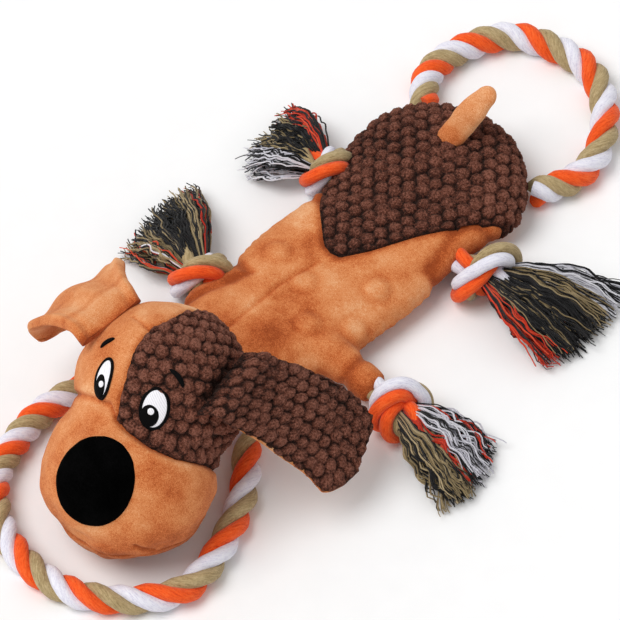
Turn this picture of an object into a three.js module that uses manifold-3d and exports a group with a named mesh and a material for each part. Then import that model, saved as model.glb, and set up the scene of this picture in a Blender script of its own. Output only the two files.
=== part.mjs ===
// A plush dog toy with rope loops, knotted rope legs and squeakers, in millimetres.
// +Z is up, the dog looks along -Y and its left side is +X.

import * as THREE from 'three';
import { mergeVertices } from 'three/addons/utils/BufferGeometryUtils.js';
import Module from 'manifold-3d';

const wasm = await Module();
wasm.setup();

// Clearances and cutting
const seamGap = 0.3;
const jointGap = 0.4;
const floorSink = 0.5;
const cutReach = 600;

// Cloth and rope
const clothWall = 2.5;
const popcornRise = 1.2;
const ropeDiameter = 17;
const legRopeDiameter = 16;
const sewnRopeDiameter = 15;
const ropeSides = 8;
const ballSegments = 12;
const ballRings = 8;

// Body
const bodyLength = 226;
const bodyWidth = 106;
const bodyThickness = 34;
const bodyMiddleX = 8;
const neckFaceY = -72;
const sideSeamHeight = 10;
const sectionSides = 18;
const sectionRoundness = 0.85;

// Each row: share of the length from the neck, left and right shares of the width, share of the thickness
const bodyStationShares = [
  [0, 0.34, 0.34, 0.94],
  [0.05, 0.37, 0.4, 0.96],
  [0.11, 0.385, 0.45, 0.93],
  [0.2, 0.43, 0.39, 0.86],
  [0.3, 0.46, 0.43, 0.83],
  [0.41, 0.46, 0.45, 0.84],
  [0.52, 0.445, 0.44, 0.86],
  [0.61, 0.42, 0.425, 0.9],
  [0.69, 0.43, 0.52, 0.95],
  [0.78, 0.46, 0.54, 0.99],
  [0.86, 0.42, 0.51, 1],
  [0.93, 0.29, 0.4, 0.96],
  [0.975, 0.15, 0.25, 0.8],
  [1, 0.03, 0.08, 0.45],
];

// Edge of the popcorn patch over the rump, as shares of the width from the middle and of the length
const rumpEdgeShares = [
  [-0.62, 0.63],
  [-0.44, 0.62],
  [-0.34, 0.6],
  [-0.28, 0.49],
  [-0.09, 0.42],
  [0.04, 0.415],
  [0.14, 0.46],
  [0.24, 0.58],
  [0.36, 0.66],
  [0.46, 0.68],
  [0.62, 0.7],
];

// Filling of the body
const stuffingFrontShare = 0.14;
const stuffingRearShare = 0.69;
const crinkleThickness = 0.8;
const crinkleHeight = 4;
const liningWidth = 74;
const liningInset = 3.5;
const matThickness = 1.2;
const matHeight = 12.2;
const matMargin = 10.5;
const matClearance = 6;
const matWidthShare = 0.651;
const cellRadiusShare = 0.375;
const cellHeight = 10.5;
const cellRows = 3;
const cellColumns = 3;
const cellSides = 7;
const cellShoulderShare = 0.6;
const cellCrownShare = 0.55;
const reedRadius = 2.6;
const reedLength = 3.5;
const reedSides = 8;

// Head
const neckAhead = 4;
const neckHeight = 30;
const neckSeat = 0.7;
const headYaw = THREE.MathUtils.degToRad(14);
const craniumRadius = 47;
const craniumAside = 4;
const craniumAhead = 59.6;
const craniumUp = 37;
const muzzleAside = 6.3;
const muzzleAhead = 44.9;
const muzzleDrop = 25;
const muzzleHalfWidth = 49;
const muzzleHalfDepth = 46;
const muzzleHalfHeight = 42.5;
const neckSegments = 22;
const neckRings = 14;
const headSegments = 18;
const headRings = 11;
const muzzleSeamTilt = THREE.MathUtils.degToRad(33);
const muzzleSeamDistance = 26.8;
const jawSeamDrop = 39;
const patchEdgeAside = 5;
const patchRear = 28;
const patchDrop = 25;
const gussetRear = 5;

// Nose, eyes and brows, each turned about the vertical and raised by angles in degrees
const noseHalfWidth = 23.5;
const noseHalfLength = 25;
const noseFacing = { turn: -5.6, raise: 42 };
const noseRise = 3;
const threadThickness = 0.8;
const ovalSegments = 12;
const eyeHalfWidth = 8;
const eyeHalfHeight = 11.5;
const pupilHalfWidth = 5;
const pupilHalfHeight = 6.2;
const browHalfLength = 6;
const browHalfWidth = 1.5;
const eyeRadii = [eyeHalfWidth, eyeHalfHeight];
const pupilRadii = [pupilHalfWidth, pupilHalfHeight];
const browRadii = [browHalfLength, browHalfWidth];
const faceMarks = [
  { name: 'eye_white_left', radii: eyeRadii, turn: 24, raise: 37.5, roll: -8, layer: 0 },
  { name: 'eye_pupil_left', radii: pupilRadii, turn: 21, raise: 33, roll: -8, layer: 1 },
  { name: 'eye_white_right', radii: eyeRadii, turn: -31, raise: 38, roll: 8, layer: 0 },
  { name: 'eye_pupil_right', radii: pupilRadii, turn: -28, raise: 34, roll: 8, layer: 1 },
  { name: 'brow_left', radii: browRadii, turn: 44, raise: 56, roll: -50, layer: 0 },
  { name: 'brow_right', radii: browRadii, turn: -64, raise: 51, roll: 35, layer: 0 },
];

// Ears
const earLength = 105;
const earWidth = 61;
const earThickness = 4;
const earLiningThickness = 2.5;
const earRootSetback = 1.6;
const leftEarLift = 1.75;
const leftEarRise = popcornRise + leftEarLift;
const rightEarRise = 1;
const earSides = [
  {
    side: 'left', turn: 88, raise: 38, hingeRise: leftEarRise,
    pathShares: [[0, 0, 0], [0.09, 0.05, -0.03], [0.2, 0.15, -0.15], [0.34, 0.26, -0.33],
      [0.47, 0.33, -0.5], [0.58, 0.34, -0.61], [0.66, 0.34, -0.66], [0.7, 0.34, -0.68]],
  },
  {
    side: 'right', turn: -94, raise: 40, hingeRise: rightEarRise,
    pathShares: [[0, 0, 0], [-0.09, 0.05, 0], [-0.18, 0.13, -0.07], [-0.28, 0.23, -0.18],
      [-0.38, 0.34, -0.31], [-0.47, 0.42, -0.43], [-0.54, 0.47, -0.52], [-0.57, 0.5, -0.57]],
  },
];
const earHalfWidthShares = [0.33, 0.35, 0.37, 0.44, 0.5, 0.46, 0.32, 0.12];
const earSectionShares = [
  [-1, 0.3], [-0.92, 0], [0, 0], [0.92, 0], [1, 0.3], [1, 0.7], [0.92, 1], [0, 1], [-0.92, 1], [-1, 0.7],
];

// Squeaker inside the head
const squeakerRadius = 19;
const squeakerPlate = 4;
const bellowsRadius = 16;
const bellowsWall = 1.5;
const bellowsFold = 2;
const bellowsFolds = 3;
const bellowsLength = 17;
const squeakerReedRadius = 4;
const squeakerRoom = 1.5;
const squeakerSides = 12;

// Tail
const tailRadius = 6.6;
const tailTipRadius = 5.4;
const tailLength = 30;
const tailWall = 1.6;
const tailHoleRadius = 2.5;
const tailAside = -7;
const tailBeforeRear = 33;
const tailRise = 4.6;
const tailLeanShares = [6, 21, 26];
const tailSides = 8;
const stuffingChamferShare = 0.7;
const stuffingSlackShare = 0.95;

// Legs
const legHeight = 16.5;
const knotDistance = 13;
const knotRingRadius = 8.8;
const knotRopeRadius = 7.2;
const knotTilt = THREE.MathUtils.degToRad(24);
const knotWideShare = 1.22;
const knotSections = 10;
const knotSides = 7;
const tasselRootRadius = 8;
const tasselLength = 50;
const rearRightTasselLength = 40;
const tasselHalfWidth = 27;
const tasselHalfThickness = 7;
const sleeveMouthRadius = 12;
const sleeveRootRadius = 13.5;
const hingeStandoff = 4.2;
const frontLeftSleeve = 42;
const rearLeftSleeve = 18;
const rightSleeve = 14;

// Hinge place as shares of the body's width and length, direction in degrees, and the lengths of sleeve and tassel
const legTable = [
  { name: 'front_left', placeShares: [0.7547, 0.2168], heading: 0, sleeve: frontLeftSleeve, fray: tasselLength },
  { name: 'front_right', placeShares: [-0.4623, 0.1903], heading: 165, sleeve: rightSleeve, fray: tasselLength },
  { name: 'rear_left', placeShares: [0.4858, 0.6416], heading: 12, sleeve: rearLeftSleeve, fray: tasselLength },
  { name: 'rear_right', placeShares: [-0.5047, 0.5885], heading: 178, sleeve: rightSleeve, fray: rearRightTasselLength },
];

// Each row: shares of the tassel's length, half width, half thickness and drop to the floor
const tasselShares = [
  [0, 0, 0, 0],
  [0.25, 0.3, 0.3, 0.15],
  [0.6, 0.75, 0.8, 0.6],
  [0.9, 1, 1, 0.95],
  [1, 0.95, 1, 1],
];
const tasselBowShare = 0.18;

// Centre lines of the two rope loops, on the surface that the toy lies on
const frontLoopRoute = [
  [-17, -76.2], [-27, -102], [-36, -132], [-39.6, -155], [-37.6, -176], [-24.7, -210], [2, -231], [35, -238],
  [62, -233], [85, -216], [101, -191], [100, -172], [90, -143], [75, -118], [53, -94], [37, -76.2],
];
const rearLoopRoute = [
  [-42, 140], [-56, 156], [-59, 178], [-46, 210], [-24, 222],
  [3, 225], [26, 214], [48, 187], [52, 165], [43, 140],
];
const loopSteps = 26;

// Sewn ends of the loops inside the body, as shares of the span between the two ends
const sewnEndShares = [[0.02, 0.12], [0.12, 0.28], [0.35, 0.36], [0.65, 0.36], [0.88, 0.28], [0.98, 0.12]];
const sewnEndSteps = 8;
const sewnEndHeight = 11;
const frontLoopAhead = 4.2;
const rearLoopInset = 14;

// Colours and finishes
const finishes = {
  tanPlush: new THREE.MeshStandardMaterial({ color: 0xc87a42, roughness: 0.9, metalness: 0 }),
  popcornPlush: new THREE.MeshStandardMaterial({ color: 0x4b3029, roughness: 0.95, metalness: 0 }),
  nosePlush: new THREE.MeshStandardMaterial({ color: 0x0b0a0a, roughness: 0.8, metalness: 0 }),
  whiteThread: new THREE.MeshStandardMaterial({ color: 0xf2f0f2, roughness: 0.7, metalness: 0 }),
  blackThread: new THREE.MeshStandardMaterial({ color: 0x161616, roughness: 0.7, metalness: 0 }),
  rope: new THREE.MeshStandardMaterial({ color: 0xe0713a, roughness: 0.85, metalness: 0 }),
  yarn: new THREE.MeshStandardMaterial({ color: 0x3a3636, roughness: 0.95, metalness: 0 }),
  filling: new THREE.MeshStandardMaterial({ color: 0xf4f3ef, roughness: 1, metalness: 0 }),
  film: new THREE.MeshStandardMaterial({ color: 0xd9dde0, roughness: 0.35, metalness: 0 }),
  squeaker: new THREE.MeshStandardMaterial({ color: 0xe9e6dc, roughness: 0.45, metalness: 0 }),
};

// Solids from geometries and back
function solidFrom(geometry) {
  const bare = geometry.clone();
  bare.deleteAttribute('normal');
  bare.deleteAttribute('uv');
  const merged = mergeVertices(bare);
  const mesh = new wasm.Mesh({
    numProp: 3,
    vertProperties: new Float32Array(merged.attributes.position.array),
    triVerts: new Uint32Array(merged.index.array),
  });
  return new wasm.Manifold(mesh);
}

function geometryFrom(solid) {
  const mesh = solid.getMesh();
  const geometry = new THREE.BufferGeometry();
  geometry.setAttribute('position', new THREE.BufferAttribute(new Float32Array(mesh.vertProperties), 3));
  geometry.setIndex(new THREE.BufferAttribute(new Uint32Array(mesh.triVerts), 1));
  geometry.computeVertexNormals();
  return geometry;
}

// A closed skin over a row of rings that hold as many points each
function loft(rings) {
  const sides = rings[0].length;
  const positions = [];
  const indices = [];
  for (const ring of rings) {
    for (const point of ring) {
      positions.push(point.x, point.y, point.z);
    }
  }
  for (let row = 0; row < rings.length - 1; row++) {
    for (let side = 0; side < sides; side++) {
      const next = (side + 1) % sides;
      const near = row * sides;
      const far = near + sides;
      indices.push(near + side, near + next, far + next);
      indices.push(near + side, far + next, far + side);
    }
  }
  const last = (rings.length - 1) * sides;
  for (let side = 1; side < sides - 1; side++) {
    indices.push(0, side + 1, side);
    indices.push(last, last + side, last + side + 1);
  }
  if (signedVolume(positions, indices) < 0) {
    indices.reverse();
  }
  const geometry = new THREE.BufferGeometry();
  geometry.setAttribute('position', new THREE.Float32BufferAttribute(positions, 3));
  geometry.setIndex(indices);
  return geometry;
}

function signedVolume(positions, indices) {
  const corner = (slot) => new THREE.Vector3().fromArray(positions, 3 * indices[slot]);
  let sum = 0;
  for (let slot = 0; slot < indices.length; slot += 3) {
    sum += corner(slot).dot(corner(slot + 1).cross(corner(slot + 2)));
  }
  return sum;
}

// A block between two corners
function block(low, high) {
  const geometry = new THREE.BoxGeometry(high.x - low.x, high.y - low.y, high.z - low.z);
  geometry.translate((low.x + high.x) / 2, (low.y + high.y) / 2, (low.z + high.z) / 2);
  return solidFrom(geometry);
}

// All the space beyond a plane
function beyond(normal, point) {
  const geometry = new THREE.BoxGeometry(cutReach, cutReach, cutReach);
  geometry.translate(0, 0, cutReach / 2);
  geometry.applyQuaternion(new THREE.Quaternion().setFromUnitVectors(new THREE.Vector3(0, 0, 1), normal));
  geometry.translate(point.x, point.y, point.z);
  return solidFrom(geometry);
}

function ball(centre, radius, segments = ballSegments, rings = ballRings) {
  const geometry = new THREE.SphereGeometry(radius, segments, rings);
  geometry.translate(centre.x, centre.y, centre.z);
  return solidFrom(geometry);
}

// The room around a ball that turns: its flat faces keep the gap all round
function socket(centre, radius, segments = ballSegments, rings = ballRings) {
  const flatShare = Math.cos(Math.PI / segments) * Math.cos(Math.PI / (2 * rings));
  return ball(centre, (radius + jointGap) / flatShare, segments, rings);
}

// A round rod along an axis of turning, from a profile of radius and height
function turned(profile, sides) {
  const points = profile.map(([radius, height]) => new THREE.Vector2(radius, height));
  const geometry = new THREE.LatheGeometry(points, sides);
  geometry.rotateX(Math.PI / 2);
  return solidFrom(geometry);
}

function disc(radius, low, high, sides) {
  return turned([[0, low], [radius, low], [radius, high], [0, high]], sides);
}

// A rope as a plain tube along a curve
function ropeAlong(points, diameter, steps) {
  const section = new THREE.Shape();
  for (let side = 0; side < ropeSides; side++) {
    const angle = (2 * Math.PI * side) / ropeSides;
    const x = (diameter / 2) * Math.cos(angle);
    const y = (diameter / 2) * Math.sin(angle);
    if (side === 0) {
      section.moveTo(x, y);
    } else {
      section.lineTo(x, y);
    }
  }
  section.closePath();
  const curve = new THREE.CatmullRomCurve3(points, false, 'centripetal');
  return new THREE.ExtrudeGeometry(section, { steps, extrudePath: curve, bevelEnabled: false });
}

// Everything under the surface that the toy lies on
function belowFloor(height) {
  return beyond(new THREE.Vector3(0, 0, -1), new THREE.Vector3(0, 0, -height));
}

// Body
function bodyRing(station, inset) {
  const [alongShare, leftShare, rightShare, heightShare] = station;
  const left = bodyWidth * leftShare - inset;
  const right = bodyWidth * rightShare - inset;
  const height = bodyThickness * heightShare + floorSink - 2 * inset;
  const y = neckFaceY + inset + (bodyLength - 2 * inset) * alongShare;
  const ring = [];
  for (let side = 0; side < sectionSides; side++) {
    const angle = (2 * Math.PI * side) / sectionSides;
    const across = Math.sign(Math.cos(angle)) * Math.abs(Math.cos(angle)) ** sectionRoundness;
    const up = Math.sign(Math.sin(angle)) * Math.abs(Math.sin(angle)) ** sectionRoundness;
    const x = bodyMiddleX + across * Math.max(across > 0 ? left : right, inset / 2);
    const z = inset - floorSink + (height / 2) * (1 + up);
    ring.push(new THREE.Vector3(x, y, z));
  }
  return ring;
}

function bodySolid(inset) {
  return solidFrom(loft(bodyStationShares.map((station) => bodyRing(station, inset))));
}

function rumpRegion(shift) {
  const shape = new THREE.Shape();
  const edge = rumpEdgeShares.map(([acrossShare, alongShare]) => [
    bodyMiddleX + bodyWidth * acrossShare,
    neckFaceY + bodyLength * alongShare + shift,
  ]);
  shape.moveTo(edge[0][0], edge[0][1]);
  for (const [x, y] of edge.slice(1)) {
    shape.lineTo(x, y);
  }
  shape.lineTo(edge.at(-1)[0], neckFaceY + bodyLength + bodyWidth);
  shape.lineTo(edge[0][0], neckFaceY + bodyLength + bodyWidth);
  shape.closePath();
  return solidFrom(new THREE.ExtrudeGeometry(shape, { depth: bodyThickness * 2, bevelEnabled: false }));
}

// What the body leaves free for the pieces that turn on it
function bodySockets() {
  let sockets = socket(neckPlace, neckRadius, neckSegments, neckRings);
  for (const route of [frontLoopRoute, rearLoopRoute]) {
    for (const [x, y] of [route[0], route.at(-1)]) {
      sockets = sockets.add(socket(new THREE.Vector3(x, y, ropeDiameter / 2), ropeDiameter / 2));
    }
  }
  for (const leg of legs) {
    sockets = sockets.add(socket(new THREE.Vector3(leg.x, leg.y, legHeight), legRopeDiameter / 2));
  }
  return sockets.add(socket(tailPlace, tailRadius));
}

function sleeveSolid(leg, wall) {
  const profile = [
    [0, -leg.sleeve],
    [sleeveRootRadius + wall, -leg.sleeve],
    [sleeveMouthRadius + wall, -hingeStandoff],
    [0, -hingeStandoff],
  ];
  const points = profile.map(([radius, height]) => new THREE.Vector2(radius, height));
  const geometry = new THREE.LatheGeometry(points, tailSides);
  geometry.rotateZ(-Math.PI / 2);
  geometry.rotateZ(THREE.MathUtils.degToRad(leg.heading));
  geometry.translate(leg.x, leg.y, legHeight);
  return solidFrom(geometry);
}

// Where a leg's sleeve starts inside the body
function sleeveRoot(leg) {
  const heading = THREE.MathUtils.degToRad(leg.heading);
  const inward = leg.sleeve + seamGap;
  return new THREE.Vector3(leg.x - inward * Math.cos(heading), leg.y - inward * Math.sin(heading), legHeight);
}

function crossRope(left, right) {
  const from = sleeveRoot(right);
  const to = sleeveRoot(left);
  const middle = new THREE.Vector3().lerpVectors(from, to, 0.5);
  middle.z = crossRopeHeight;
  return solidFrom(ropeAlong([from, middle, to], sewnRopeDiameter, sewnEndSteps));
}

// The end of a loop sewn in behind its seam: from the seam's place, inward along Y
function sewnEnd(route, seamY, inward, extra) {
  const fromX = route[0][0];
  const span = route.at(-1)[0] - fromX;
  const points = sewnEndShares.map(([acrossShare, depthShare]) => new THREE.Vector3(
    fromX + span * acrossShare,
    seamY + inward * (ropeDiameter / 2 + sewnEndDepth * depthShare),
    sewnEndHeight,
  ));
  return solidFrom(ropeAlong(points, sewnRopeDiameter + 2 * extra, sewnEndSteps));
}

function cellPlaces() {
  const places = [];
  for (let row = 0; row < cellRows; row++) {
    for (let column = 0; column < cellColumns; column++) {
      places.push(new THREE.Vector3(
        bodyMiddleX + (column - (cellColumns - 1) / 2) * columnPitch,
        matMiddleY + (row - (cellRows - 1) / 2) * rowPitch,
        matHeight,
      ));
    }
  }
  return places;
}

// A flat layer in the middle of the body, between two heights
function liningBetween(low, high) {
  const halfLength = matLength / 2 - liningInset;
  return block(
    new THREE.Vector3(bodyMiddleX - liningWidth / 2, matMiddleY - halfLength, low),
    new THREE.Vector3(bodyMiddleX + liningWidth / 2, matMiddleY + halfLength, high),
  );
}

function squeakerMat() {
  let mat = block(
    new THREE.Vector3(bodyMiddleX - matWidth / 2, matMiddleY - matLength / 2, matHeight),
    new THREE.Vector3(bodyMiddleX + matWidth / 2, matMiddleY + matLength / 2, matHeight + matThickness),
  );
  for (const place of cellPlaces()) {
    const shoulder = cellHeight * cellShoulderShare;
    const crown = cellRadius * cellCrownShare;
    const outer = [[0, 0], [cellRadius, 0], [cellRadius, shoulder], [crown, cellHeight], [0, cellHeight]];
    mat = mat.add(turned(outer, cellSides).translate(place.x, place.y, place.z));
  }
  for (const place of cellPlaces()) {
    const room = disc(cellRadius - matThickness, -matThickness, cellHeight * cellShoulderShare, cellSides);
    mat = mat.subtract(room.translate(place.x, place.y, place.z));
  }
  return mat;
}

// Head, in its own frame at the neck
function headSolid(rise) {
  const cranium = new THREE.SphereGeometry(craniumRadius + rise, headSegments, headRings);
  cranium.rotateX(Math.PI / 2);
  cranium.translate(craniumOffset.x, craniumOffset.y, craniumOffset.z);
  const muzzle = new THREE.SphereGeometry(1, headSegments, headRings);
  muzzle.rotateX(Math.PI / 2);
  muzzle.scale(muzzleHalfWidth + rise, muzzleHalfDepth + rise, muzzleHalfHeight + rise);
  muzzle.translate(muzzlePlace.x, muzzlePlace.y, muzzlePlace.z);
  return solidFrom(cranium).add(solidFrom(muzzle));
}

// A direction from turns in degrees: to the left about the vertical, then up
function facing(turn, raise) {
  const across = THREE.MathUtils.degToRad(turn);
  const up = THREE.MathUtils.degToRad(raise);
  return new THREE.Vector3(Math.sin(across) * Math.cos(up), -Math.cos(across) * Math.cos(up), Math.sin(up));
}

// An oval prism that stands on a centre and reaches out in a direction
function ovalPrism(centre, direction, radii, roll) {
  const shape = new THREE.Shape();
  shape.absellipse(0, 0, radii[0], radii[1], 0, 2 * Math.PI, false, THREE.MathUtils.degToRad(roll));
  const options = { depth: craniumRadius * 2, bevelEnabled: false, curveSegments: ovalSegments / 2 };
  const geometry = new THREE.ExtrudeGeometry(shape, options);
  const side = new THREE.Vector3(0, 0, 1).cross(direction).normalize();
  const top = new THREE.Vector3().crossVectors(direction, side);
  geometry.applyMatrix4(new THREE.Matrix4().makeBasis(side, top, direction));
  geometry.translate(centre.x, centre.y, centre.z);
  return solidFrom(geometry);
}

function relative(x, y, z) {
  return new THREE.Vector3(x, y, z).add(craniumOffset);
}

function headPanels() {
  const shell = headSolid(0).subtract(headSolid(-clothWall));
  const proudShell = headSolid(popcornRise).subtract(headSolid(-clothWall));
  const forward = new THREE.Vector3(0, -Math.cos(muzzleSeamTilt), -Math.sin(muzzleSeamTilt));
  const seam = (shift) => forward.clone().multiplyScalar(muzzleSeamDistance + shift).add(craniumOffset);
  const muzzleSide = beyond(forward, seam(seamGap / 2));
  const faceSide = beyond(forward.clone().negate(), seam(-seamGap / 2));
  const down = new THREE.Vector3(0, 0, -1);
  const up = new THREE.Vector3(0, 0, 1);
  const jawSide = beyond(down, relative(0, 0, -jawSeamDrop - seamGap / 2));
  const lipSide = beyond(up, relative(0, 0, -jawSeamDrop + seamGap / 2));
  const face = (extra) => block(
    relative(-cutReach, -cutReach, -patchDrop - extra),
    relative(extra - patchEdgeAside, gussetRear + extra, cutReach),
  );
  const patch = (extra) => block(
    relative(-patchEdgeAside - extra, -cutReach, -patchDrop - extra),
    relative(cutReach, patchRear + extra, cutReach),
  );
  const floor = belowFloor(neckPlace.z);
  const half = seamGap / 2;
  return {
    muzzle_panel: shell.intersect(muzzleSide).intersect(lipSide),
    jaw_panel: shell.intersect(muzzleSide).intersect(jawSide).subtract(floor),
    face_panel: shell.intersect(faceSide).intersect(face(-half)),
    eye_patch: proudShell.intersect(faceSide).intersect(patch(-half)),
    head_back_panel: shell.intersect(faceSide).subtract(face(half)).subtract(patch(half)).subtract(floor)
      .subtract(socket(new THREE.Vector3(), neckRadius, neckSegments, neckRings)),
  };
}

function squeakerCavity() {
  const half = squeakerHeight / 2 + seamGap;
  return disc(squeakerRadius + squeakerRoom, -half, half, squeakerSides)
    .translate(craniumOffset.x, craniumOffset.y, craniumOffset.z);
}

function headStuffing(sign) {
  const core = headSolid(-clothWall - seamGap).subtract(squeakerCavity());
  const side = new THREE.Vector3(sign, 0, 0);
  const point = relative((sign * seamGap) / 2, 0, 0);
  const floor = belowFloor(neckPlace.z - clothWall);
  return core.intersect(beyond(side, point)).subtract(floor);
}

function faceMark(mark) {
  const onPatch = mark.turn > 0 ? popcornRise : 0;
  const low = onPatch + seamGap + mark.layer * (threadThickness + seamGap);
  const skin = headSolid(low + threadThickness).subtract(headSolid(low));
  return skin.intersect(ovalPrism(craniumOffset, facing(mark.turn, mark.raise), mark.radii, mark.roll));
}

function noseSolid() {
  const skin = headSolid(noseRise).subtract(headSolid(seamGap));
  const radii = [noseHalfWidth, noseHalfLength];
  return skin.intersect(ovalPrism(muzzlePlace, facing(noseFacing.turn, noseFacing.raise), radii, 0));
}

function bellowsSolid() {
  const outer = [];
  const inner = [];
  const steps = bellowsFolds * 2;
  for (let step = 0; step <= steps; step++) {
    const height = -bellowsLength / 2 + (bellowsLength * step) / steps;
    const radius = bellowsRadius - (step % 2) * bellowsFold;
    outer.push([radius, height]);
    inner.unshift([radius - bellowsWall, height]);
  }
  return turned([...outer, ...inner, outer[0]], squeakerSides);
}

// Ears, hinged along their roots
function earRoot(ear) {
  return facing(ear.turn, ear.raise).multiplyScalar(craniumRadius + ear.hingeRise).add(craniumOffset);
}

function earLayer(ear, low, high) {
  const centres = ear.pathShares.map((shares) => new THREE.Vector3(...shares).multiplyScalar(earLength));
  const wide = new THREE.Vector3(0, 1, 0);
  const rings = centres.map((centre, row) => {
    const before = centres[Math.max(row - 1, 0)];
    const after = centres[Math.min(row + 1, centres.length - 1)];
    const along = new THREE.Vector3().subVectors(after, before).normalize();
    const up = new THREE.Vector3().crossVectors(along, wide).normalize();
    if (up.z < 0) {
      up.negate();
    }
    const start = centre.clone();
    if (row === 0) {
      start.addScaledVector(along, earRootSetback);
    }
    const halfWidth = earWidth * earHalfWidthShares[row];
    const ring = earSectionShares.map(([acrossShare, riseShare]) => start.clone()
      .addScaledVector(wide, halfWidth * acrossShare)
      .addScaledVector(up, low + (high - low) * riseShare));
    return ring;
  });
  return solidFrom(loft(rings));
}

// Tail, in its own frame along +Z
function tailShell() {
  const arc = (radius, height, from, to) => {
    const points = [];
    for (let step = 0; step <= tailSides / 2; step++) {
      const angle = from + ((to - from) * step) / (tailSides / 2);
      points.push([radius * Math.cos(angle), height + radius * Math.sin(angle)]);
    }
    return points;
  };
  const low = -Math.acos(tailHoleRadius / tailRadius);
  const innerLow = -Math.acos(tailHoleRadius / (tailRadius - tailWall));
  const outer = [...arc(tailRadius, 0, low, 0), ...arc(tailTipRadius, tailLength, 0, Math.PI / 2)];
  const inner = [
    ...arc(tailTipRadius - tailWall, tailLength, Math.PI / 2, 0),
    ...arc(tailRadius - tailWall, 0, 0, innerLow),
  ];
  outer.at(-1)[0] = 0;
  inner[0][0] = 0;
  return turned([...outer.reverse(), ...inner.reverse()].reverse(), tailSides);
}

function tailStuffing() {
  const core = tailRadius - tailWall - seamGap;
  const tip = tailTipRadius - tailWall - seamGap;
  const nearTip = tailLength + tip * stuffingChamferShare;
  const profile = [
    [0, -core * stuffingChamferShare],
    [core * stuffingChamferShare, -core * stuffingChamferShare],
    [core * stuffingSlackShare, 0],
    [tip * stuffingSlackShare, tailLength],
    [tip * stuffingChamferShare, nearTip],
    [0, nearTip],
  ];
  return turned(profile, tailSides);
}

// Legs, each in its own frame along +X from its hinge
function ringOfRope(tilt) {
  const geometry = new THREE.TorusGeometry(knotRingRadius, knotRopeRadius, knotSides, knotSections);
  geometry.rotateY(Math.PI / 2);
  geometry.rotateZ(tilt);
  geometry.scale(1, knotWideShare, 1);
  geometry.translate(knotDistance, 0, 0);
  return solidFrom(geometry);
}

function legRope() {
  const radius = legRopeDiameter / 2;
  const stub = new THREE.CylinderGeometry(radius, radius, knotDistance, ballSegments);
  stub.rotateZ(Math.PI / 2);
  stub.translate(knotDistance / 2, 0, 0);
  const round = ball(new THREE.Vector3(), radius);
  const crossing = ringOfRope(knotTilt).add(ringOfRope(-knotTilt));
  return solidFrom(stub).add(round).add(crossing);
}

function tassel(root, fray) {
  const rings = tasselShares.map(([alongShare, widthShare, thicknessShare, dropShare]) => {
    const halfWidth = tasselRootRadius + (tasselHalfWidth - tasselRootRadius) * widthShare;
    const halfThickness = tasselRootRadius + (tasselHalfThickness - tasselRootRadius) * thicknessShare;
    const drop = (legHeight - tasselHalfThickness) * dropShare;
    const ring = [];
    for (let side = 0; side < ropeSides + 2; side++) {
      const angle = (2 * Math.PI * side) / (ropeSides + 2);
      ring.push(new THREE.Vector3(
        root + fray * alongShare * (1 - tasselBowShare * Math.cos(angle) ** 2),
        halfWidth * Math.cos(angle),
        halfThickness * Math.sin(angle) - drop,
      ));
    }
    return ring;
  });
  return solidFrom(loft(rings));
}

// Places that follow from the sizes above
const neckPlace = new THREE.Vector3(bodyMiddleX, neckFaceY - neckAhead, neckHeight);
const craniumOffset = new THREE.Vector3(craniumAside, -craniumAhead, craniumUp);
const muzzlePlace = relative(muzzleAside, -muzzleAhead, -muzzleDrop);
const tailPlace = new THREE.Vector3(
  bodyMiddleX + tailAside,
  neckFaceY + bodyLength - tailBeforeRear,
  bodyThickness + tailRise,
);
const legs = legTable.map((leg) => ({
  ...leg,
  x: bodyMiddleX + bodyWidth * leg.placeShares[0],
  y: neckFaceY + bodyLength * leg.placeShares[1],
}));
const neckRadius = craniumOffset.length() - craniumRadius + neckSeat;
const [frontLeftLeg, frontRightLeg, rearLeftLeg, rearRightLeg] = legs;
const crossRopeHeight = clothWall + seamGap + sewnRopeDiameter / 2 + seamGap;
const frontCrossY = (frontLeftLeg.y + frontRightLeg.y) / 2;
const rearCrossY = (rearLeftLeg.y + rearRightLeg.y) / 2;
const matMiddleY = (frontCrossY + rearCrossY) / 2;
const matLength = rearCrossY - frontCrossY - sewnRopeDiameter - 2 * matClearance;
const matWidth = bodyWidth * matWidthShare;
const rowPitch = (matLength - 2 * matMargin) / (cellRows - 1);
const columnPitch = (matWidth - 2 * matMargin) / (cellColumns - 1);
const cellRadius = Math.min(rowPitch, columnPitch) * cellRadiusShare;
const frontSeamY = neckFaceY - frontLoopAhead;
const rearSeamY = neckFaceY + bodyLength - rearLoopInset;
const sewnEndDepth = bodyLength * stuffingFrontShare;
const squeakerHeight = bellowsLength + 2 * (squeakerPlate + seamGap);
const reedSeat = cellHeight * cellShoulderShare - reedLength - seamGap;

// Assembly
const toy = new THREE.Group();

function addPiece(parent, name, solid, material) {
  const mesh = new THREE.Mesh(geometryFrom(solid), material);
  mesh.name = name;
  parent.add(mesh);
  return mesh;
}

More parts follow.
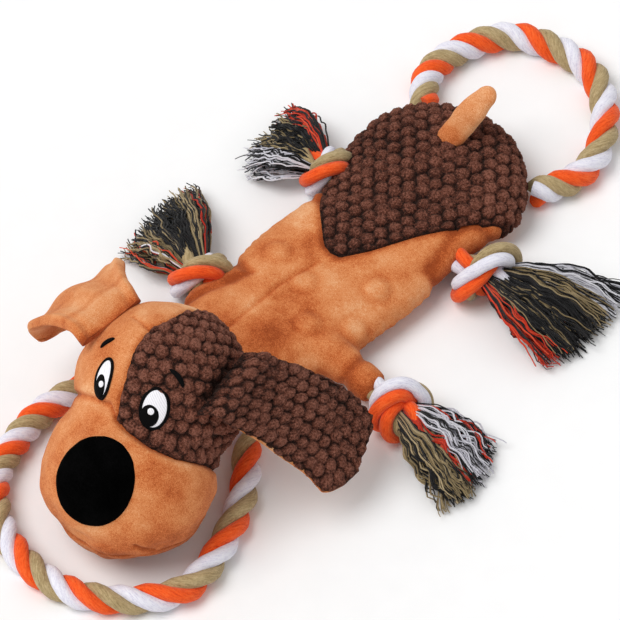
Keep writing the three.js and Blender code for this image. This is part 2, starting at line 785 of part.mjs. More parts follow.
function addBody() {
  const shell = bodySolid(0).subtract(bodySolid(clothWall)).subtract(belowFloor(0));
  const proudShell = bodySolid(-popcornRise).subtract(bodySolid(clothWall)).subtract(belowFloor(0));
  const sockets = bodySockets();
  const up = new THREE.Vector3(0, 0, 1);
  const overSeam = beyond(up, new THREE.Vector3(0, 0, sideSeamHeight + seamGap / 2));
  const underSeam = beyond(up.clone().negate(), new THREE.Vector3(0, 0, sideSeamHeight - seamGap / 2));
  let holes = sockets;
  for (const leg of legs) {
    holes = holes.add(sleeveSolid(leg, seamGap));
  }
  const back = shell.intersect(overSeam).subtract(rumpRegion(-seamGap / 2)).subtract(holes);
  addPiece(toy, 'back_panel', back, finishes.tanPlush);
  addPiece(toy, 'belly_panel', shell.intersect(underSeam).subtract(holes), finishes.tanPlush);
  const rump = proudShell.intersect(overSeam).intersect(rumpRegion(seamGap / 2)).subtract(holes);
  addPiece(toy, 'rump_patch', rump, finishes.popcornPlush);

  const core = bodySolid(clothWall + seamGap);
  for (const leg of legs) {
    const inner = beyond(up, new THREE.Vector3(0, 0, 0)).intersect(sleeveSolid(leg, 0));
    addPiece(toy, `${leg.name}_sleeve`, inner.subtract(sockets), finishes.tanPlush);
  }
  const front = crossRope(frontLeftLeg, frontRightLeg).subtract(holes).intersect(core);
  const rear = crossRope(rearLeftLeg, rearRightLeg).subtract(holes).intersect(core);
  addPiece(toy, 'front_leg_cross_rope', front, finishes.rope);
  addPiece(toy, 'rear_leg_cross_rope', rear, finishes.rope);
  const frontEnd = sewnEnd(frontLoopRoute, frontSeamY, 1, 0).subtract(holes).intersect(core);
  const rearEnd = sewnEnd(rearLoopRoute, rearSeamY, -1, 0).subtract(holes).intersect(core);
  addPiece(toy, 'front_loop_sewn_end', frontEnd, finishes.rope);
  addPiece(toy, 'rear_loop_sewn_end', rearEnd, finishes.rope);

  const alongBody = (share) => new THREE.Vector3(0, neckFaceY + bodyLength * share, 0);
  const chestSpace = beyond(new THREE.Vector3(0, -1, 0), alongBody(stuffingFrontShare));
  const rumpSpace = beyond(new THREE.Vector3(0, 1, 0), alongBody(stuffingRearShare));
  const frontRoom = sewnEnd(frontLoopRoute, frontSeamY, 1, seamGap);
  const rearRoom = sewnEnd(rearLoopRoute, rearSeamY, -1, seamGap);
  const chest = core.intersect(chestSpace).subtract(frontRoom).subtract(holes);
  const haunch = core.intersect(rumpSpace).subtract(rearRoom).subtract(holes);
  addPiece(toy, 'chest_stuffing', chest, finishes.filling);
  addPiece(toy, 'rump_stuffing', haunch, finishes.filling);

  const sheetTop = crinkleHeight + crinkleThickness;
  addPiece(toy, 'crinkle_sheet', liningBetween(crinkleHeight, sheetTop).intersect(core), finishes.film);
  const padding = liningBetween(sheetTop + seamGap, matHeight - seamGap).intersect(core);
  addPiece(toy, 'belly_padding', padding, finishes.filling);
  addPiece(toy, 'squeaker_mat', squeakerMat(), finishes.film);
  cellPlaces().forEach((place, index) => {
    const reed = disc(reedRadius, 0, reedLength, reedSides);
    const low = matHeight + reedSeat;
    addPiece(toy, `mat_reed_${index + 1}`, reed.translate(place.x, place.y, low), finishes.squeaker);
  });
}

function addHead() {
  const neck = new THREE.Group();
  neck.position.copy(neckPlace);
  neck.rotation.z = headYaw;
  toy.add(neck);
  const neckRoll = ball(new THREE.Vector3(), neckRadius, neckSegments, neckRings);
  addPiece(neck, 'neck_roll', neckRoll, finishes.tanPlush);

  const panelFinish = { eye_patch: finishes.popcornPlush };
  for (const [name, solid] of Object.entries(headPanels())) {
    addPiece(neck, name, solid, panelFinish[name] ?? finishes.tanPlush);
  }
  addPiece(neck, 'head_stuffing_left', headStuffing(1), finishes.filling);
  addPiece(neck, 'head_stuffing_right', headStuffing(-1), finishes.filling);
  addPiece(neck, 'nose', noseSolid(), finishes.nosePlush);
  for (const mark of faceMarks) {
    const thread = mark.name.includes('white') ? finishes.whiteThread : finishes.blackThread;
    addPiece(neck, mark.name, faceMark(mark), thread);
  }

  const squeaker = new THREE.Group();
  squeaker.position.copy(craniumOffset);
  neck.add(squeaker);
  const low = -squeakerHeight / 2;
  const base = disc(squeakerRadius, low, low + squeakerPlate, squeakerSides)
    .subtract(disc(squeakerReedRadius + seamGap, low - squeakerPlate, low + 2 * squeakerPlate, reedSides));
  addPiece(squeaker, 'squeaker_base', base, finishes.squeaker);
  const reed = disc(squeakerReedRadius, low, low + squeakerPlate, reedSides);
  const cap = disc(squeakerRadius, -low - squeakerPlate, -low, squeakerSides);
  addPiece(squeaker, 'squeaker_reed', reed, finishes.squeaker);
  addPiece(squeaker, 'squeaker_bellows', bellowsSolid(), finishes.squeaker);
  addPiece(squeaker, 'squeaker_cap', cap, finishes.squeaker);

  for (const ear of earSides) {
    const root = new THREE.Group();
    root.position.copy(earRoot(ear));
    neck.add(root);
    const front = earLayer(ear, seamGap / 2, earThickness);
    const lining = earLayer(ear, -earLiningThickness, -seamGap / 2);
    const frontFinish = ear.side === 'left' ? finishes.popcornPlush : finishes.tanPlush;
    addPiece(root, `ear_${ear.side}_front`, front, frontFinish);
    addPiece(root, `ear_${ear.side}_lining`, lining, finishes.tanPlush);
  }
}

function addTail() {
  const tail = new THREE.Group();
  tail.position.copy(tailPlace);
  const lean = new THREE.Vector3(...tailLeanShares).normalize();
  tail.quaternion.setFromUnitVectors(new THREE.Vector3(0, 0, 1), lean);
  toy.add(tail);
  addPiece(tail, 'tail_plush', tailShell(), finishes.tanPlush);
  addPiece(tail, 'tail_stuffing', tailStuffing(), finishes.filling);
}

function addLegs() {
  for (const leg of legs) {
    const group = new THREE.Group();
    group.position.set(leg.x, leg.y, legHeight);
    group.rotation.z = THREE.MathUtils.degToRad(leg.heading);
    toy.add(group);
    const rope = legRope();
    const root = rope.boundingBox().max[0] + seamGap;
    addPiece(group, `${leg.name}_leg_rope`, rope, finishes.rope);
    addPiece(group, `${leg.name}_tassel`, tassel(root, leg.fray), finishes.yarn);
  }
}

function addLoop(name, route) {
  const points = route.map(([x, y]) => new THREE.Vector3(x, y, ropeDiameter / 2));
  let solid = solidFrom(ropeAlong(points, ropeDiameter, loopSteps));
  for (const end of [points[0], points.at(-1)]) {
    solid = solid.add(ball(end, ropeDiameter / 2));
  }
  addPiece(toy, name, solid, finishes.rope);
}

addBody();
addHead();
addTail();
addLegs();
addLoop('front_rope_loop', frontLoopRoute);
addLoop('rear_rope_loop', rearLoopRoute);

// The origin is under the middle of the toy without its two rope loops
const extent = new THREE.Box3();
toy.updateMatrixWorld(true);
toy.traverse((piece) => {
  if (piece.isMesh && !piece.name.endsWith('_rope_loop')) {
    extent.expandByObject(piece, true);
  }
});
const middle = extent.getCenter(new THREE.Vector3());
toy.position.set(-middle.x, -middle.y, -extent.min.z);

export default toy;
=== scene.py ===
import logging
import math
from dataclasses import dataclass, field
from enum import Enum
from typing import Sequence

import bpy
import numpy as np
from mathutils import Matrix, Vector
from mathutils.bvhtree import BVHTree


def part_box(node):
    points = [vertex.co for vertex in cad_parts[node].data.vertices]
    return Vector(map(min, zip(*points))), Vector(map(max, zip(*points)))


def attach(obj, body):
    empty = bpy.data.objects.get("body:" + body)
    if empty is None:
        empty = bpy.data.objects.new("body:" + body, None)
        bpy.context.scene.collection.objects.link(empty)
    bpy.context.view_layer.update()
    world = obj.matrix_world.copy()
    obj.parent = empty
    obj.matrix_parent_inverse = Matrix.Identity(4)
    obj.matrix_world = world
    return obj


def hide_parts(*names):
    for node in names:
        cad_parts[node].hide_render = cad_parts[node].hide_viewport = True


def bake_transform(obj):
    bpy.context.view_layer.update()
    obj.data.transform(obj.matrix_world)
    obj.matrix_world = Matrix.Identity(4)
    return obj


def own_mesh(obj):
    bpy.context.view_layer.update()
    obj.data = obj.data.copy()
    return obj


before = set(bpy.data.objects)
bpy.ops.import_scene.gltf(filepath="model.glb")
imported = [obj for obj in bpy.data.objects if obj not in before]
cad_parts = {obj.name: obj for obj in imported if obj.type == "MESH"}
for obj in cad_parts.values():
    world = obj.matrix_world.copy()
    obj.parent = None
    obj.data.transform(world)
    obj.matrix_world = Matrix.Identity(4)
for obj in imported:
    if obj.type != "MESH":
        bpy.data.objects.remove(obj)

log = logging.getLogger("dog_toy")

Points = np.ndarray
Colour = tuple[float, float, float]

MM = 0.001
UPWARD = np.array([0.0, 0.0, 1.0])
SMOOTH_ANGLE = math.radians(55)
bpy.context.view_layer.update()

# Where the neck joint is in the pattern, and in the frame
NECK = np.array([8.0, -76.0, 30.0])
NECK_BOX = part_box("neck_roll")
SHIFT = (np.array(NECK_BOX[0]) + np.array(NECK_BOX[1])) / 2 / MM - NECK


def unit(vectors: Points) -> Points:
    """Vectors at length one.

    Args:
        vectors: one vector or rows of them.

    Returns:
        The same directions, each of length one.
    """
    length = np.linalg.norm(vectors, axis=-1, keepdims=True)
    return vectors / np.maximum(length, 1e-9)


def level_and_up(direction: Points) -> tuple[Points, Points]:
    """The level direction across a direction, and the upward one across both."""
    side = unit(np.cross(UPWARD, direction))
    return side, np.cross(direction, side)


def turned_flat(points: Points, degrees: float) -> Points:
    """Points turned about the upright axis.

    Args:
        points: rows of x, y, z.
        degrees: the turn, counter-clockwise from above.

    Returns:
        The turned rows.
    """
    angle = math.radians(degrees)
    cos, sin = math.cos(angle), math.sin(angle)
    return np.asarray(points) @ np.array([[cos, sin, 0], [-sin, cos, 0], [0, 0, 1]])


def smooth_step(values: Points, low: float, high: float) -> Points:
    """A soft step from 0 at low to 1 at high.

    Args:
        values: numbers to place on the step.
        low: where the step starts.
        high: where the step ends.

    Returns:
        Numbers from 0 to 1.
    """
    share = np.clip((values - low) / (high - low), 0, 1)
    return share * share * (3 - 2 * share)


def ripple(points: Points, size: float, seed: int, waves: int = 14) -> Points:
    """Soft irregular waves, as in stuffed cloth.

    Args:
        points: rows of coordinates.
        size: about the length of a wave, in millimetres.
        seed: chooses the waves.
        waves: how many are added up.

    Returns:
        A height for each point, mostly within -1 to 1.
    """
    dice = np.random.default_rng(seed)
    total = np.zeros(len(points))
    for _ in range(waves):
        direction = unit(dice.normal(size=points.shape[1]))
        length = size * dice.uniform(0.7, 1.7)
        total += np.sin(points @ direction * 2 * math.pi / length + dice.uniform(0, 2 * math.pi))
    return total / math.sqrt(waves)


def along_curve(controls: Sequence[Sequence[float]], step: float) -> Points:
    """A smooth line through points, as centripetal Catmull-Rom.

    Args:
        controls: points that the line passes through.
        step: distance between the points that come back.

    Returns:
        Evenly spaced points along the line.
    """
    knots = np.asarray(controls, float)
    knots = np.vstack([2 * knots[0] - knots[1], knots, 2 * knots[-1] - knots[-2]])
    parts = []
    for first in range(len(knots) - 3):
        p0, p1, p2, p3 = knots[first:first + 4]
        t1 = np.linalg.norm(p1 - p0) ** 0.5
        t2 = t1 + np.linalg.norm(p2 - p1) ** 0.5
        t3 = t2 + np.linalg.norm(p3 - p2) ** 0.5
        t = np.linspace(t1, t2, 40, endpoint=first == len(knots) - 4)[:, None]
        a1 = (t1 - t) / t1 * p0 + t / t1 * p1
        a2 = (t2 - t) / (t2 - t1) * p1 + (t - t1) / (t2 - t1) * p2
        a3 = (t3 - t) / (t3 - t2) * p2 + (t - t2) / (t3 - t2) * p3
        b1 = (t2 - t) / t2 * a1 + t / t2 * a2
        b2 = (t3 - t) / (t3 - t1) * a2 + (t - t1) / (t3 - t1) * a3
        parts.append((t2 - t) / (t2 - t1) * b1 + (t - t1) / (t2 - t1) * b2)
    line = np.vstack(parts)
    travelled = travelled_along(line)
    places = np.linspace(0, travelled[-1], max(3, round(travelled[-1] / step) + 1))
    return np.stack([np.interp(places, travelled, line[:, axis]) for axis in range(3)], 1)


def travelled_along(line: Points) -> Points:
    """The distance along a line at each of its points."""
    return np.r_[0, np.cumsum(np.linalg.norm(np.diff(line, axis=0), axis=1))]


def whole_turn(sides: int) -> Points:
    """Evenly spaced angles round a circle."""
    return np.linspace(0, 2 * math.pi, sides, endpoint=False)


def bell(distance: Points, width: float) -> Points:
    """A soft bell, 1 at no distance and falling off over the width."""
    return np.exp(-(distance / width) ** 2)


def round_end(share: Points, start: float) -> Points:
    """The width of a form whose far end is rounded from a share of its length on."""
    return np.sqrt(np.clip(1 - ((share - start) / (1 - start)).clip(0) ** 2, 0.0004, 1))


def averaged(values: Points, beside: int, **edges: str) -> Points:
    """A running mean.

    Args:
        values: a row of numbers.
        beside: how many on each side go into the mean.
        edges: how the row goes on beyond its ends.

    Returns:
        As many numbers as before.
    """
    count = 2 * beside + 1
    return np.convolve(np.pad(values, beside, **edges), np.ones(count) / count, mode="valid")


def numbered(pairs: Points, count: int) -> tuple[Points, Points]:
    """Pairs of points without repeats.

    Args:
        pairs: rows of two point numbers, in either order.
        count: how many points there are.

    Returns:
        The pairs that differ, and the place of each given pair among them.
    """
    pairs = np.sort(pairs, axis=1)
    keys, which = np.unique(pairs[:, 0] * count + pairs[:, 1], return_inverse=True)
    return np.stack([keys // count, keys % count], 1), which.ravel()


@dataclass
class Skin:
    """A surface of triangles in the pattern's millimetres, with named values at its points."""

    points: Points
    faces: Points
    values: dict[str, Points] = field(default_factory=dict)
    paint: Points | None = None

    @staticmethod
    def joined(skins: Sequence["Skin"]) -> "Skin":
        """Several skins as one, each with the paint number of its place in the list.

        Args:
            skins: what to join; they carry the same named values.

        Returns:
            One skin.
        """
        starts = np.cumsum([0] + [len(skin.points) for skin in skins[:-1]])
        paints = [
            skin.paint if skin.paint is not None else np.full(len(skin.faces), number)
            for number, skin in enumerate(skins)
        ]
        return Skin(
            np.vstack([skin.points for skin in skins]),
            np.vstack([skin.faces + start for skin, start in zip(skins, starts)]),
            {name: np.concatenate([skin.values[name] for skin in skins]) for name in skins[0].values},
            np.concatenate(paints),
        )

    def normals(self) -> Points:
        """Outward directions at the points."""
        corners = self.points[self.faces]
        facing = np.cross(corners[:, 1] - corners[:, 0], corners[:, 2] - corners[:, 0])
        flat = self.faces.ravel()
        total = [np.bincount(flat, np.repeat(facing[:, axis], 3), len(self.points)) for axis in range(3)]
        return unit(np.stack(total, 1))

    def edges(self) -> tuple[Points, Points]:
        """The skin's edges.

        Returns:
            Point pairs, and for each face the places of its three edges among them.
        """
        ends, which = numbered(self.faces[:, [0, 1, 1, 2, 2, 0]].reshape(-1, 2), len(self.points))
        return ends, which.reshape(-1, 3)

    def push(self, rise: Points) -> None:
        """Move each point outward by its own rise."""
        self.points = self.points + self.normals() * rise[:, None]

    def lift(self, lowest: float) -> None:
        """Lift every point to at least a lowest height."""
        self.points[:, 2] = np.maximum(self.points[:, 2], lowest)

    def turn_outward(self) -> None:
        """Turn the faces of a closed skin outward."""
        first, second, third = self.points[self.faces].transpose(1, 0, 2)
        if (np.cross(first, second) * third).sum() < 0:
            self.faces = self.faces[:, ::-1]

    def eased(self, rounds: int, share: float = 0.5) -> "Skin":
        """A smoother copy.

        Args:
            rounds: how often each point moves towards its neighbours.
            share: how far it moves each time.

        Returns:
            The smoothed skin.
        """
        ends, _ = self.edges()
        count = len(self.points)
        number = np.maximum(np.bincount(ends.ravel(), minlength=count), 1)
        points = self.points.copy()
        for _ in range(rounds):
            for axis in range(3):
                column = points[:, axis]
                total = np.bincount(ends[:, 0], column[ends[:, 1]], count)
                total += np.bincount(ends[:, 1], column[ends[:, 0]], count)
                points[:, axis] = column + share * (total / number - column)
        return Skin(points, self.faces, dict(self.values), self.paint)

    def halved(self) -> "Skin":
        """A copy with each triangle cut into four."""
        ends, which = self.edges()
        ab, bc, ca = (which + len(self.points)).T
        a, b, c = self.faces.T
        faces = np.vstack([np.stack(row, 1) for row in ((a, ab, ca), (b, bc, ab), (c, ca, bc), (ab, bc, ca))])
        middle = (self.points[ends[:, 0]] + self.points[ends[:, 1]]) / 2
        values = {
            name: np.concatenate([value, (value[ends[:, 0]] + value[ends[:, 1]]) / 2])
            for name, value in self.values.items()
        }
        return Skin(np.vstack([self.points, middle]), faces, values)

    def kept(self, depth: Points) -> "Skin":
        """The part of the skin where depth is above zero, cut clean along its zero line.

        Args:
            depth: a number for each point.

        Returns:
            The part that is kept.
        """
        corner = (depth > 0)[self.faces]
        number = corner.sum(axis=1)

        def turned(wanted: int, state: bool) -> Points:
            """Faces with that many corners inside, turned so that the odd corner is first."""
            rows = self.faces[number == wanted]
            first = np.argmax(corner[number == wanted] == state, axis=1)[:, None]
            return np.take_along_axis(rows, (first + np.arange(3)) % 3, axis=1)

        one, two = turned(1, True), turned(2, False)
        pairs = np.vstack([rows[:, [0, column]] for rows in (one, two) for column in (1, 2)])
        count = len(self.points)
        ends, which = numbered(pairs, count)
        share = depth[ends[:, 0]] / (depth[ends[:, 0]] - depth[ends[:, 1]] + 1e-12)
        fresh = np.split(which + count, np.cumsum([len(one), len(one), len(two)]))
        faces = np.vstack([
            self.faces[number == 3],
            np.stack([one[:, 0], fresh[0], fresh[1]], 1),
            np.stack([fresh[2], two[:, 1], two[:, 2]], 1),
            np.stack([fresh[2], two[:, 2], fresh[3]], 1),
        ])

        def carried(value: Points) -> Points:
            """A value at the old points and at the cuts."""
            weight = share.reshape([-1] + [1] * (value.ndim - 1))
            return np.concatenate([value, value[ends[:, 0]] * (1 - weight) + value[ends[:, 1]] * weight])

        used, faces = np.unique(faces, return_inverse=True)
        values = {name: carried(value)[used] for name, value in self.values.items()}
        return Skin(carried(self.points)[used], faces.reshape(-1, 3), values)

    def walled(self, wall: float, rise: Points | float = 0.0) -> "Skin":
        """A closed cloth wall from an open skin.

        Args:
            wall: thickness under the skin.
            rise: how far the outer side stands out from it.

        Returns:
            The closed wall.
        """
        normals = self.normals()
        count = len(self.points)
        outer = self.points + normals * np.broadcast_to(np.asarray(rise, float), count)[:, None]
        inner = self.points - normals * wall
        directed = self.faces[:, [0, 1, 1, 2, 2, 0]].reshape(-1, 2)
        keys = np.sort(directed, axis=1) @ np.array([count, 1])
        _, first, times = np.unique(keys, return_index=True, return_counts=True)
        a, b = directed[first[times == 1]].T
        faces = np.vstack([
            self.faces,
            self.faces[:, ::-1] + count,
            np.stack([b, a, a + count], 1),
            np.stack([b, a + count, b + count], 1),
        ])
        values = {name: np.concatenate([value, value]) for name, value in self.values.items()}
        return Skin(np.vstack([outer, inner]), faces, values)

    def mesh(self, name: str) -> bpy.types.Mesh:
        """The skin as a mesh in the frame's metres."""
        mesh = bpy.data.meshes.new(name)
        mesh.vertices.add(len(self.points))
        mesh.loops.add(self.faces.size)
        mesh.polygons.add(len(self.faces))
        mesh.vertices.foreach_set("co", ((self.points + SHIFT) * MM).astype(np.float32).ravel())
        mesh.loops.foreach_set("vertex_index", self.faces.astype(np.int32).ravel())
        mesh.polygons.foreach_set("loop_start", np.arange(0, self.faces.size, 3, dtype=np.int32))
        if self.paint is not None:
            mesh.polygons.foreach_set("material_index", self.paint.astype(np.int32))
        for key, value in self.values.items():
            kind, word = ("FLOAT_VECTOR", "vector") if value.ndim == 2 else ("FLOAT", "value")
            mesh.attributes.new(key, kind, "POINT")
            mesh.attributes[key].data.foreach_set(word, value.astype(np.float32).ravel())
        mesh.update(calc_edges=True)
        mesh.validate()
        return mesh

    def piece(
        self,
        name: str,
        body: str,
        slot: str,
        paints: Sequence[bpy.types.Material],
        nodes: Sequence[str] = (),
        fill: float | None = None,
        bend: tuple[str, Points, Points] | None = None,
    ) -> bpy.types.Object:
        """The skin as a finished piece of the toy.

        Args:
            name: the piece's name.
            body: the body that it rides on.
            slot: the record's material slot; not used.
            paints: its materials, in the order of its paint numbers.
            nodes: the nodes that it stands for.
            fill: how full it is, if it is padded; not used.
            bend: if given, the piece is baked in place instead of riding on its body; its body and places are not
                used.

        Returns:
            The new object.
        """
        obj = bpy.data.objects.new(name, self.mesh(name))
        for paint in paints:
            obj.data.materials.append(paint)
        make_active(obj)
        bpy.ops.object.shade_smooth_by_angle(angle=SMOOTH_ANGLE)
        if bend:
            start, end = (tuple((place + SHIFT) * MM) for place in bend[1:])
            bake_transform(obj)
        else:
            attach(obj, body)
        if nodes:
            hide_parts(*nodes)
        log.info("%s: %d triangles on %s", name, len(self.faces), body)
        return obj


def lofted(rings: Points) -> Skin:
    """A closed skin through rings of points.

    Args:
        rings: rings of equally many points each, counter-clockwise seen from the end.

    Returns:
        The skin, with flat fans at both ends and no shade.
    """
    rows, sides = rings.shape[:2]
    place = np.arange(rows * sides).reshape(rows, sides)
    after = np.roll(place, -1, axis=1)
    a, b, c, d = place[:-1], after[:-1], after[1:], place[1:]
    first = np.full(sides, rows * sides)
    faces = np.vstack([
        np.stack([a, b, c], -1).reshape(-1, 3),
        np.stack([a, c, d], -1).reshape(-1, 3),
        np.stack([first, after[0], place[0]], 1),
        np.stack([first + 1, place[-1], after[-1]], 1),
    ])
    points = np.vstack([rings.reshape(-1, 3), rings[0].mean(axis=0), rings[-1].mean(axis=0)])
    return Skin(points, faces, {"shade": np.zeros(len(points))})


def tube(
    line: Points, first: Points, second: Points, size: Points, sides: int, wide: float = 1.0, tall: float = 1.0
) -> Skin:
    """A closed tube round a line.

    Args:
        line: points of its centre.
        first: directions across the line, or one for all of it.
        second: directions across both, or one.
        size: its radius at each point of each ring, or what spreads to that.
        sides: points in a ring.
        wide: its share of the radius in the first direction.
        tall: its share in the second.

    Returns:
        The tube.
    """
    first, second = (np.broadcast_to(way, line.shape)[:, None, :] for way in (first, second))
    turn = whole_turn(sides)[:, None]
    ring = np.cos(turn) * first * wide + np.sin(turn) * second * tall
    return lofted(line[:, None, :] + ring * size[..., None])


def level_tube(line: Points, size: Points, sides: int, wide: float = 1.0) -> Skin:
    """A closed tube round a line, whose rings start level.

    Args:
        line: points of its centre.
        size: its radius at each of them.
        sides: points in a ring.
        wide: its share of the radius in the level direction.

    Returns:
        The tube.
    """
    along = unit(np.gradient(line, axis=0))
    side = unit(np.cross(along, UPWARD))
    return tube(line, side, np.cross(side, along), size[:, None], sides, wide)


def strand_lay(turn: Points, travelled: Points, last: float = 0.0) -> Points:
    """The places around and along a strand, for its fibres.

    Args:
        turn: the angles of a ring.
        travelled: the distance along the strand at each ring.
        last: the distance at its far end's middle.

    Returns:
        A vector for each point of the lofted strand.
    """
    rows = len(travelled)
    around = [np.tile(np.cos(turn), rows), np.tile(np.sin(turn), rows), np.repeat(travelled, len(turn))]
    return np.vstack([np.stack(around, 1), [0, 0, 0], [0, 0, last]])


def make_active(obj: bpy.types.Object) -> None:
    """Put an object into the scene as the only one that is selected."""
    bpy.context.scene.collection.objects.link(obj)
    bpy.ops.object.select_all(action="DESELECT")
    obj.select_set(True)
    bpy.context.view_layer.objects.active = obj


def fused(skins: Sequence[Skin], voxel: float) -> Skin:
    """Closed skins melted into one.

    Args:
        skins: closed skins that overlap.
        voxel: the size of the steps in which they are melted, in millimetres.

    Returns:
        One closed skin.
    """
    lump = Skin.joined([Skin(skin.points, skin.faces) for skin in skins])
    obj = bpy.data.objects.new("lump", lump.mesh("lump"))
    make_active(obj)
    melt = obj.modifiers.new("Melt", "REMESH")
    melt.mode = "VOXEL"
    melt.voxel_size = voxel * MM
    bpy.ops.object.modifier_apply(modifier=melt.name)
    skin = taken(obj)
    bpy.data.objects.remove(obj, do_unlink=True)
    return skin


def taken(obj: bpy.types.Object) -> Skin:
    """A copy of an object's mesh as a skin."""
    mesh = obj.data
    mesh.calc_loop_triangles()
    points = np.empty(len(mesh.vertices) * 3, np.float32)
    faces = np.empty(len(mesh.loop_triangles) * 3, np.int32)
    mesh.vertices.foreach_get("co", points)
    mesh.loop_triangles.foreach_get("vertices", faces)
    points = points.reshape(-1, 3).astype(float) / MM - SHIFT
    whole, place = np.unique(np.round(points, 4), axis=0, return_inverse=True)
    return Skin(whole, place.ravel()[faces.reshape(-1, 3)].astype(np.int64))


# Shader nodes
class Wire:
    """A number in a material, for maths written in Python."""

    def __init__(self, bench: "Bench", socket: bpy.types.NodeSocket) -> None:
        """Keep the material's bench and the socket that gives the number."""
        self.bench = bench
        self.socket = socket

    def maths(self, operation: str, first: "Wire | float", second: "Wire | float") -> "Wire":
        """One Math node.

        Args:
            operation: the node's operation.
            first: its first number.
            second: its second number.

        Returns:
            The result.
        """
        return self.bench.node("ShaderNodeMath", {"operation": operation}, {0: first, 1: second})

    def __add__(self, other: "Wire | float") -> "Wire":
        """The sum."""
        return self.maths("ADD", self, other)

    __radd__ = __add__

    def __mul__(self, other: "Wire | float") -> "Wire":
        """The product."""
        return self.maths("MULTIPLY", self, other)

    __rmul__ = __mul__

    def __sub__(self, other: "Wire | float") -> "Wire":
        """The difference."""
        return self.maths("SUBTRACT", self, other)

    def __rsub__(self, other: "Wire | float") -> "Wire":
        """The difference, the other way round."""
        return self.maths("SUBTRACT", other, self)


class Bench:
    """The node tree of one material."""

    def __init__(self, name: str) -> None:
        """Start a material with an empty tree."""
        self.material = bpy.data.materials.new(name)
        self.material.use_nodes = True
        self.tree = self.material.node_tree
        self.tree.nodes.clear()

    def node(self, kind: str, settings: dict, sockets: dict, output: int = 0) -> Wire:
        """Add a node.

        Args:
            kind: the node's type.
            settings: its settings; stops are a ramp's places and colours.
            sockets: values or wires for its inputs, by name or number.
            output: the number of the output that is wanted.

        Returns:
            The output.
        """
        node = self.tree.nodes.new(kind)
        for key, value in settings.items():
            if key == "stops":
                elements = node.color_ramp.elements
                for place, _ in value[1:-1]:
                    elements.new(place)
                for element, (place, _) in zip(elements, value):
                    element.position = place
                for element, (_, colour) in zip(elements, value):
                    element.color = linear(colour)
            else:
                setattr(node, key, value)
        for key, value in sockets.items():
            if isinstance(value, Wire):
                self.tree.links.new(value.socket, node.inputs[key])
            else:
                node.inputs[key].default_value = value
        return Wire(self, node.outputs[output])

    def noise(self, scale: float, detail: float = 3.0, rough: float = 0.5, vector: Wire | None = None) -> Wire:
        """Noise around a half.

        Args:
            scale: waves in each unit of the vector.
            detail: how many finer layers it has.
            rough: how strong those are.
            vector: what it follows, or the object's coordinates.

        Returns:
            The noise.
        """
        where = vector or self.node("ShaderNodeTexCoord", {}, {}, 3)
        return self.node(
            "ShaderNodeTexNoise", {}, {"Vector": where, "Scale": scale, "Detail": detail, "Roughness": rough}
        )

    def value(self, name: str, output: int = 2) -> Wire:
        """A named value of the piece's points."""
        return self.node("ShaderNodeAttribute", {"attribute_name": name}, {}, output)

    def ramp(self, factor: Wire, stops: Sequence[tuple[float, Colour]]) -> Wire:
        """Colours along a number."""
        return self.node("ShaderNodeValToRGB", {"stops": stops}, {0: factor})

    def bump(self, height: Wire, distance: float, strength: float, under: Wire | None = None) -> Wire:
        """Small relief.

        Args:
            height: the relief, around a half.
            distance: its depth in millimetres.
            strength: its strength.
            under: a coarser relief that it lies on.

        Returns:
            The bent normal.
        """
        sockets = {"Height": height, "Distance": distance * MM, "Strength": strength}
        if under:
            sockets["Normal"] = under
        return self.node("ShaderNodeBump", {}, sockets)

    def finished(
        self, colour: Wire, roughness: "Wire | float", specular: float, normal: Wire | None = None,
        sheen: float = 0.0, spread: float = 0.5, tint: Colour = (255, 255, 255),
    ) -> bpy.types.Material:
        """Close the material with its shader.

        Args:
            colour: its base colour.
            roughness: its roughness.
            specular: the strength of its highlight.
            normal: its relief.
            sheen: the strength of the light caught by its nap.
            spread: the roughness of that light.
            tint: the colour of that light.

        Returns:
            The material.
        """
        sockets = {
            "Base Color": colour, "Roughness": roughness, "Specular IOR Level": specular,
            "Sheen Weight": sheen, "Sheen Roughness": spread, "Sheen Tint": linear(tint),
        }
        if normal:
            sockets["Normal"] = normal
        shader = self.node("ShaderNodeBsdfPrincipled", {}, sockets)
        output = self.tree.nodes.new("ShaderNodeOutputMaterial")
        self.tree.links.new(shader.socket, output.inputs["Surface"])
        return self.material


def linear(colour: Sequence[float]) -> tuple[float, float, float, float]:
    """A written colour, 0 to 255, as the shader's numbers."""
    shares = [part / 255 for part in colour]
    return (*[share / 12.92 if share <= 0.04045 else ((share + 0.055) / 1.055) ** 2.4 for share in shares], 1.0)


@dataclass(frozen=True)
class ShortPlush:
    """Short-pile plush, with painted shade in folds and painted light on crowns from each piece's shade value."""

    name: str
    stops: tuple[tuple[float, Colour], ...]
    sheen: float = 0.25
    sheen_tint: Colour = (255, 214, 170)
    contrast: float = 1.0
    gloss: float = 0.15

    def material(self) -> bpy.types.Material:
        """The plush material, with drifts of pile, fine mottling and a napped surface."""
        bench = Bench(self.name)
        drift = bench.noise(42, 2)
        blotch = bench.noise(150, 4, 0.6)
        mottle = bench.noise(620, 4, 0.65)
        pile = bench.noise(1900, 3, 0.65)
        light = 0.5 + self.contrast * (
            0.9 * (drift - 0.5) + 0.35 * (blotch - 0.5) + 0.4 * (mottle - 0.5) + 1.15 * (pile - 0.5)
        )
        # The shade value paints shade and light onto the plush's colour
        colour = bench.ramp(light + bench.value("shade") * 0.5, self.stops)
        middle = bench.bump(mottle, 0.5, 0.3, bench.bump(blotch, 1.1, 0.18))
        normal = bench.bump(pile, 0.3, 0.6, middle)
        return bench.finished(colour, 0.92, self.gloss, normal, self.sheen, tint=self.sheen_tint)


